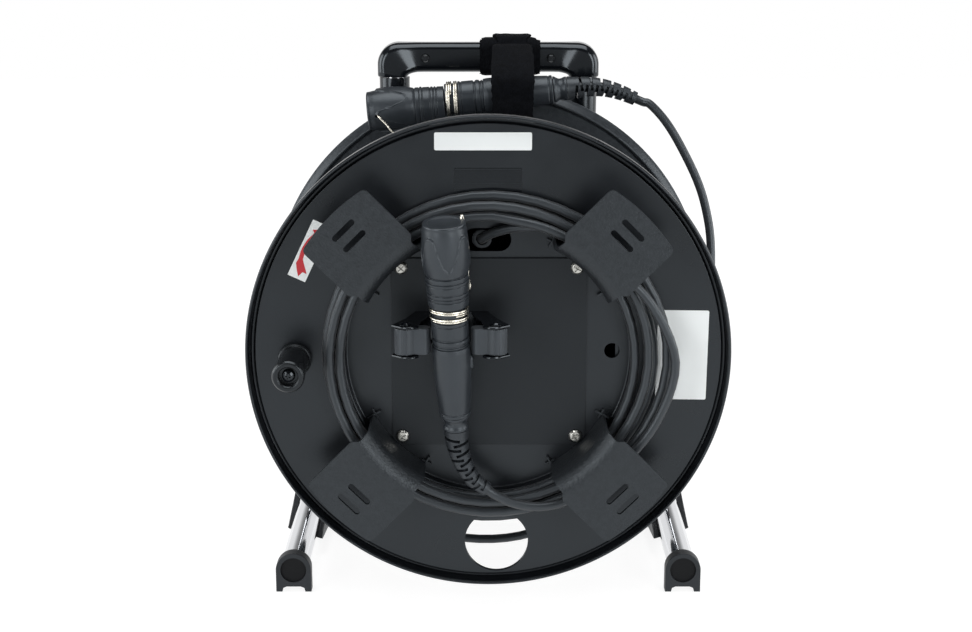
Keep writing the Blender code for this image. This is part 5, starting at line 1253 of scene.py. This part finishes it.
def dimmer(nodes, links, coordinate, axis, bright_at, dim_at, dim_to):
    """A share that falls from 1 to dim_to along an axis of the room, but not for the camera."""
    split = nodes.new("ShaderNodeSeparateXYZ")
    links.new(coordinate, split.inputs[0])
    low, high = sorted(((dim_at, dim_to), (bright_at, 1.0)))
    fall = ranged(nodes, links, split.outputs[axis], low, high, 'SMOOTHSTEP')
    rays = nodes.new("ShaderNodeLightPath")
    return maths(nodes, links, 'MAXIMUM', fall, rays.outputs["Is Camera Ray"])


def studio():
    """A pale floor and a dim room that metal mirrors as white, and five soft panels.

    The room and floor grow darker towards the camera and upwards, except to the camera.
    """
    world = bpy.data.worlds.new("studio")
    bpy.context.scene.world = world
    world.use_nodes = True
    nodes, links = world.node_tree.nodes, world.node_tree.links
    dim = nodes["Background"]
    dim.inputs["Color"].default_value = (1, 1, 1, 1)
    dim.inputs["Strength"].default_value = 0.16
    bright = nodes.new("ShaderNodeBackground")
    bright.inputs["Color"].default_value = (1, 1, 1, 1)
    place = nodes.new("ShaderNodeTexCoord")
    room = maths(nodes, links, 'MULTIPLY',
                 dimmer(nodes, links, place.outputs["Generated"], "Y", -0.40, -0.85, 0.45),
                 dimmer(nodes, links, place.outputs["Generated"], "Z", 0.26, 0.42, 0.12))
    links.new(room, bright.inputs["Strength"])
    out = nodes["World Output"]
    links.new(camera_white(nodes, links, dim.outputs[0], bright.outputs[0]),
              out.inputs["Surface"])

    ground = bmesh.new()
    bmesh.ops.create_grid(ground, x_segments=2, y_segments=2, size=3.0)
    mesh = bpy.data.meshes.new("floor")
    ground.to_mesh(mesh)
    ground.free()
    floor = link("floor", mesh, Matrix.Translation((0, 0, -0.0002)))
    look = bpy.data.materials.new("pale_floor")
    look.use_nodes = True
    nodes, links = look.node_tree.nodes, look.node_tree.links
    for node in list(nodes):
        if node.type == 'BSDF_PRINCIPLED':
            nodes.remove(node)
    plain = nodes.new("ShaderNodeBsdfDiffuse")
    plain.inputs["Color"].default_value = (0.80, 0.80, 0.80, 1)
    half = nodes.new("ShaderNodeBsdfDiffuse")
    half.inputs["Color"].default_value = (0.28, 0.28, 0.28, 1)
    glow = nodes.new("ShaderNodeEmission")
    place = nodes.new("ShaderNodeTexCoord")
    away = nodes.new("ShaderNodeVectorMath")
    away.operation = 'LENGTH'
    links.new(place.outputs["Object"], away.inputs[0])
    # Painted shade: the floor's glow is dimmed to 0.86 round the object and reaches full
    # strength 1.1 m away, so the floor is darker under it.
    painted_shade_near_object = ranged(nodes, links, away.outputs["Value"], (0.25, 0.86), (1.10, 1.0), 'SMOOTHSTEP')
    level = maths(nodes, links, 'MULTIPLY',
                  dimmer(nodes, links, place.outputs["Object"], "Y", -0.65, -1.80, 0.45), painted_shade_near_object)
    links.new(level, glow.inputs["Strength"])
    both = nodes.new("ShaderNodeAddShader")
    links.new(half.outputs[0], both.inputs[0])
    links.new(glow.outputs[0], both.inputs[1])
    links.new(camera_white(nodes, links, plain.outputs[0], both.outputs[0]),
              nodes["Material Output"].inputs["Surface"])
    floor.data.materials.append(look)

    middle = (0, 0, 0.18)
    for name, place, aim, width, height, power in (
            ("top_panel", (0.0, -0.15, 1.50), (0, -0.05, 0.15), 1.2, 1.1, 15),
            ("left_panel", (-1.02, -1.30, 0.60), middle, 0.60, 1.10, 10),
            ("right_panel", (0.94, -1.36, 0.60), middle, 0.60, 1.10, 11),
            ("left_side", (-1.35, -0.05, 0.55), middle, 0.80, 0.90, 8),
            ("right_side", (1.35, -0.05, 0.55), middle, 0.80, 0.90, 8)):
        light = bpy.data.lights.new(name, 'AREA')
        light.shape = 'RECTANGLE'
        light.size, light.size_y = width, height
        light.energy = power
        made = bpy.data.objects.new(name, light)
        made.location = place
        made.rotation_euler = (Vector(aim) - Vector(place)).to_track_quat('-Z', 'Y').to_euler()
        bpy.context.scene.collection.objects.link(made)


def camera():
    """The photograph's view, solved from the rims' ellipses."""
    data = bpy.data.cameras.new("view")
    data.lens = 65.39
    data.sensor_width = 36.0
    data.shift_x = -0.00226
    data.clip_start = 0.01
    made = bpy.data.objects.new("view", data)
    made.location = (0.0, -1.1648, 0.4717)
    made.rotation_euler = (math.pi / 2 - math.radians(14.10), 0, 0)
    bpy.context.scene.collection.objects.link(made)
    bpy.context.scene.camera = made


camera()
studio()
bpy.context.scene.view_settings.view_transform = 'Standard'
drum()
lane_and_pack()
cover()
guards()
labels()
knob()
clip()
stand()
handle()
crossbar()
strap()
gland()
inner_with = connector("inner", "drum", INNER_PLACE, INNER_BOOT, INNER_WIRE, 83, None)
outer_with = connector("outer", "frame", OUTER_PLACE, OUTER_BOOT, OUTER_WIRE, 53, 100, 0.0033)
inner_lead()
outer_lead()
dress_nodes()
bpy.context.view_layer.update()
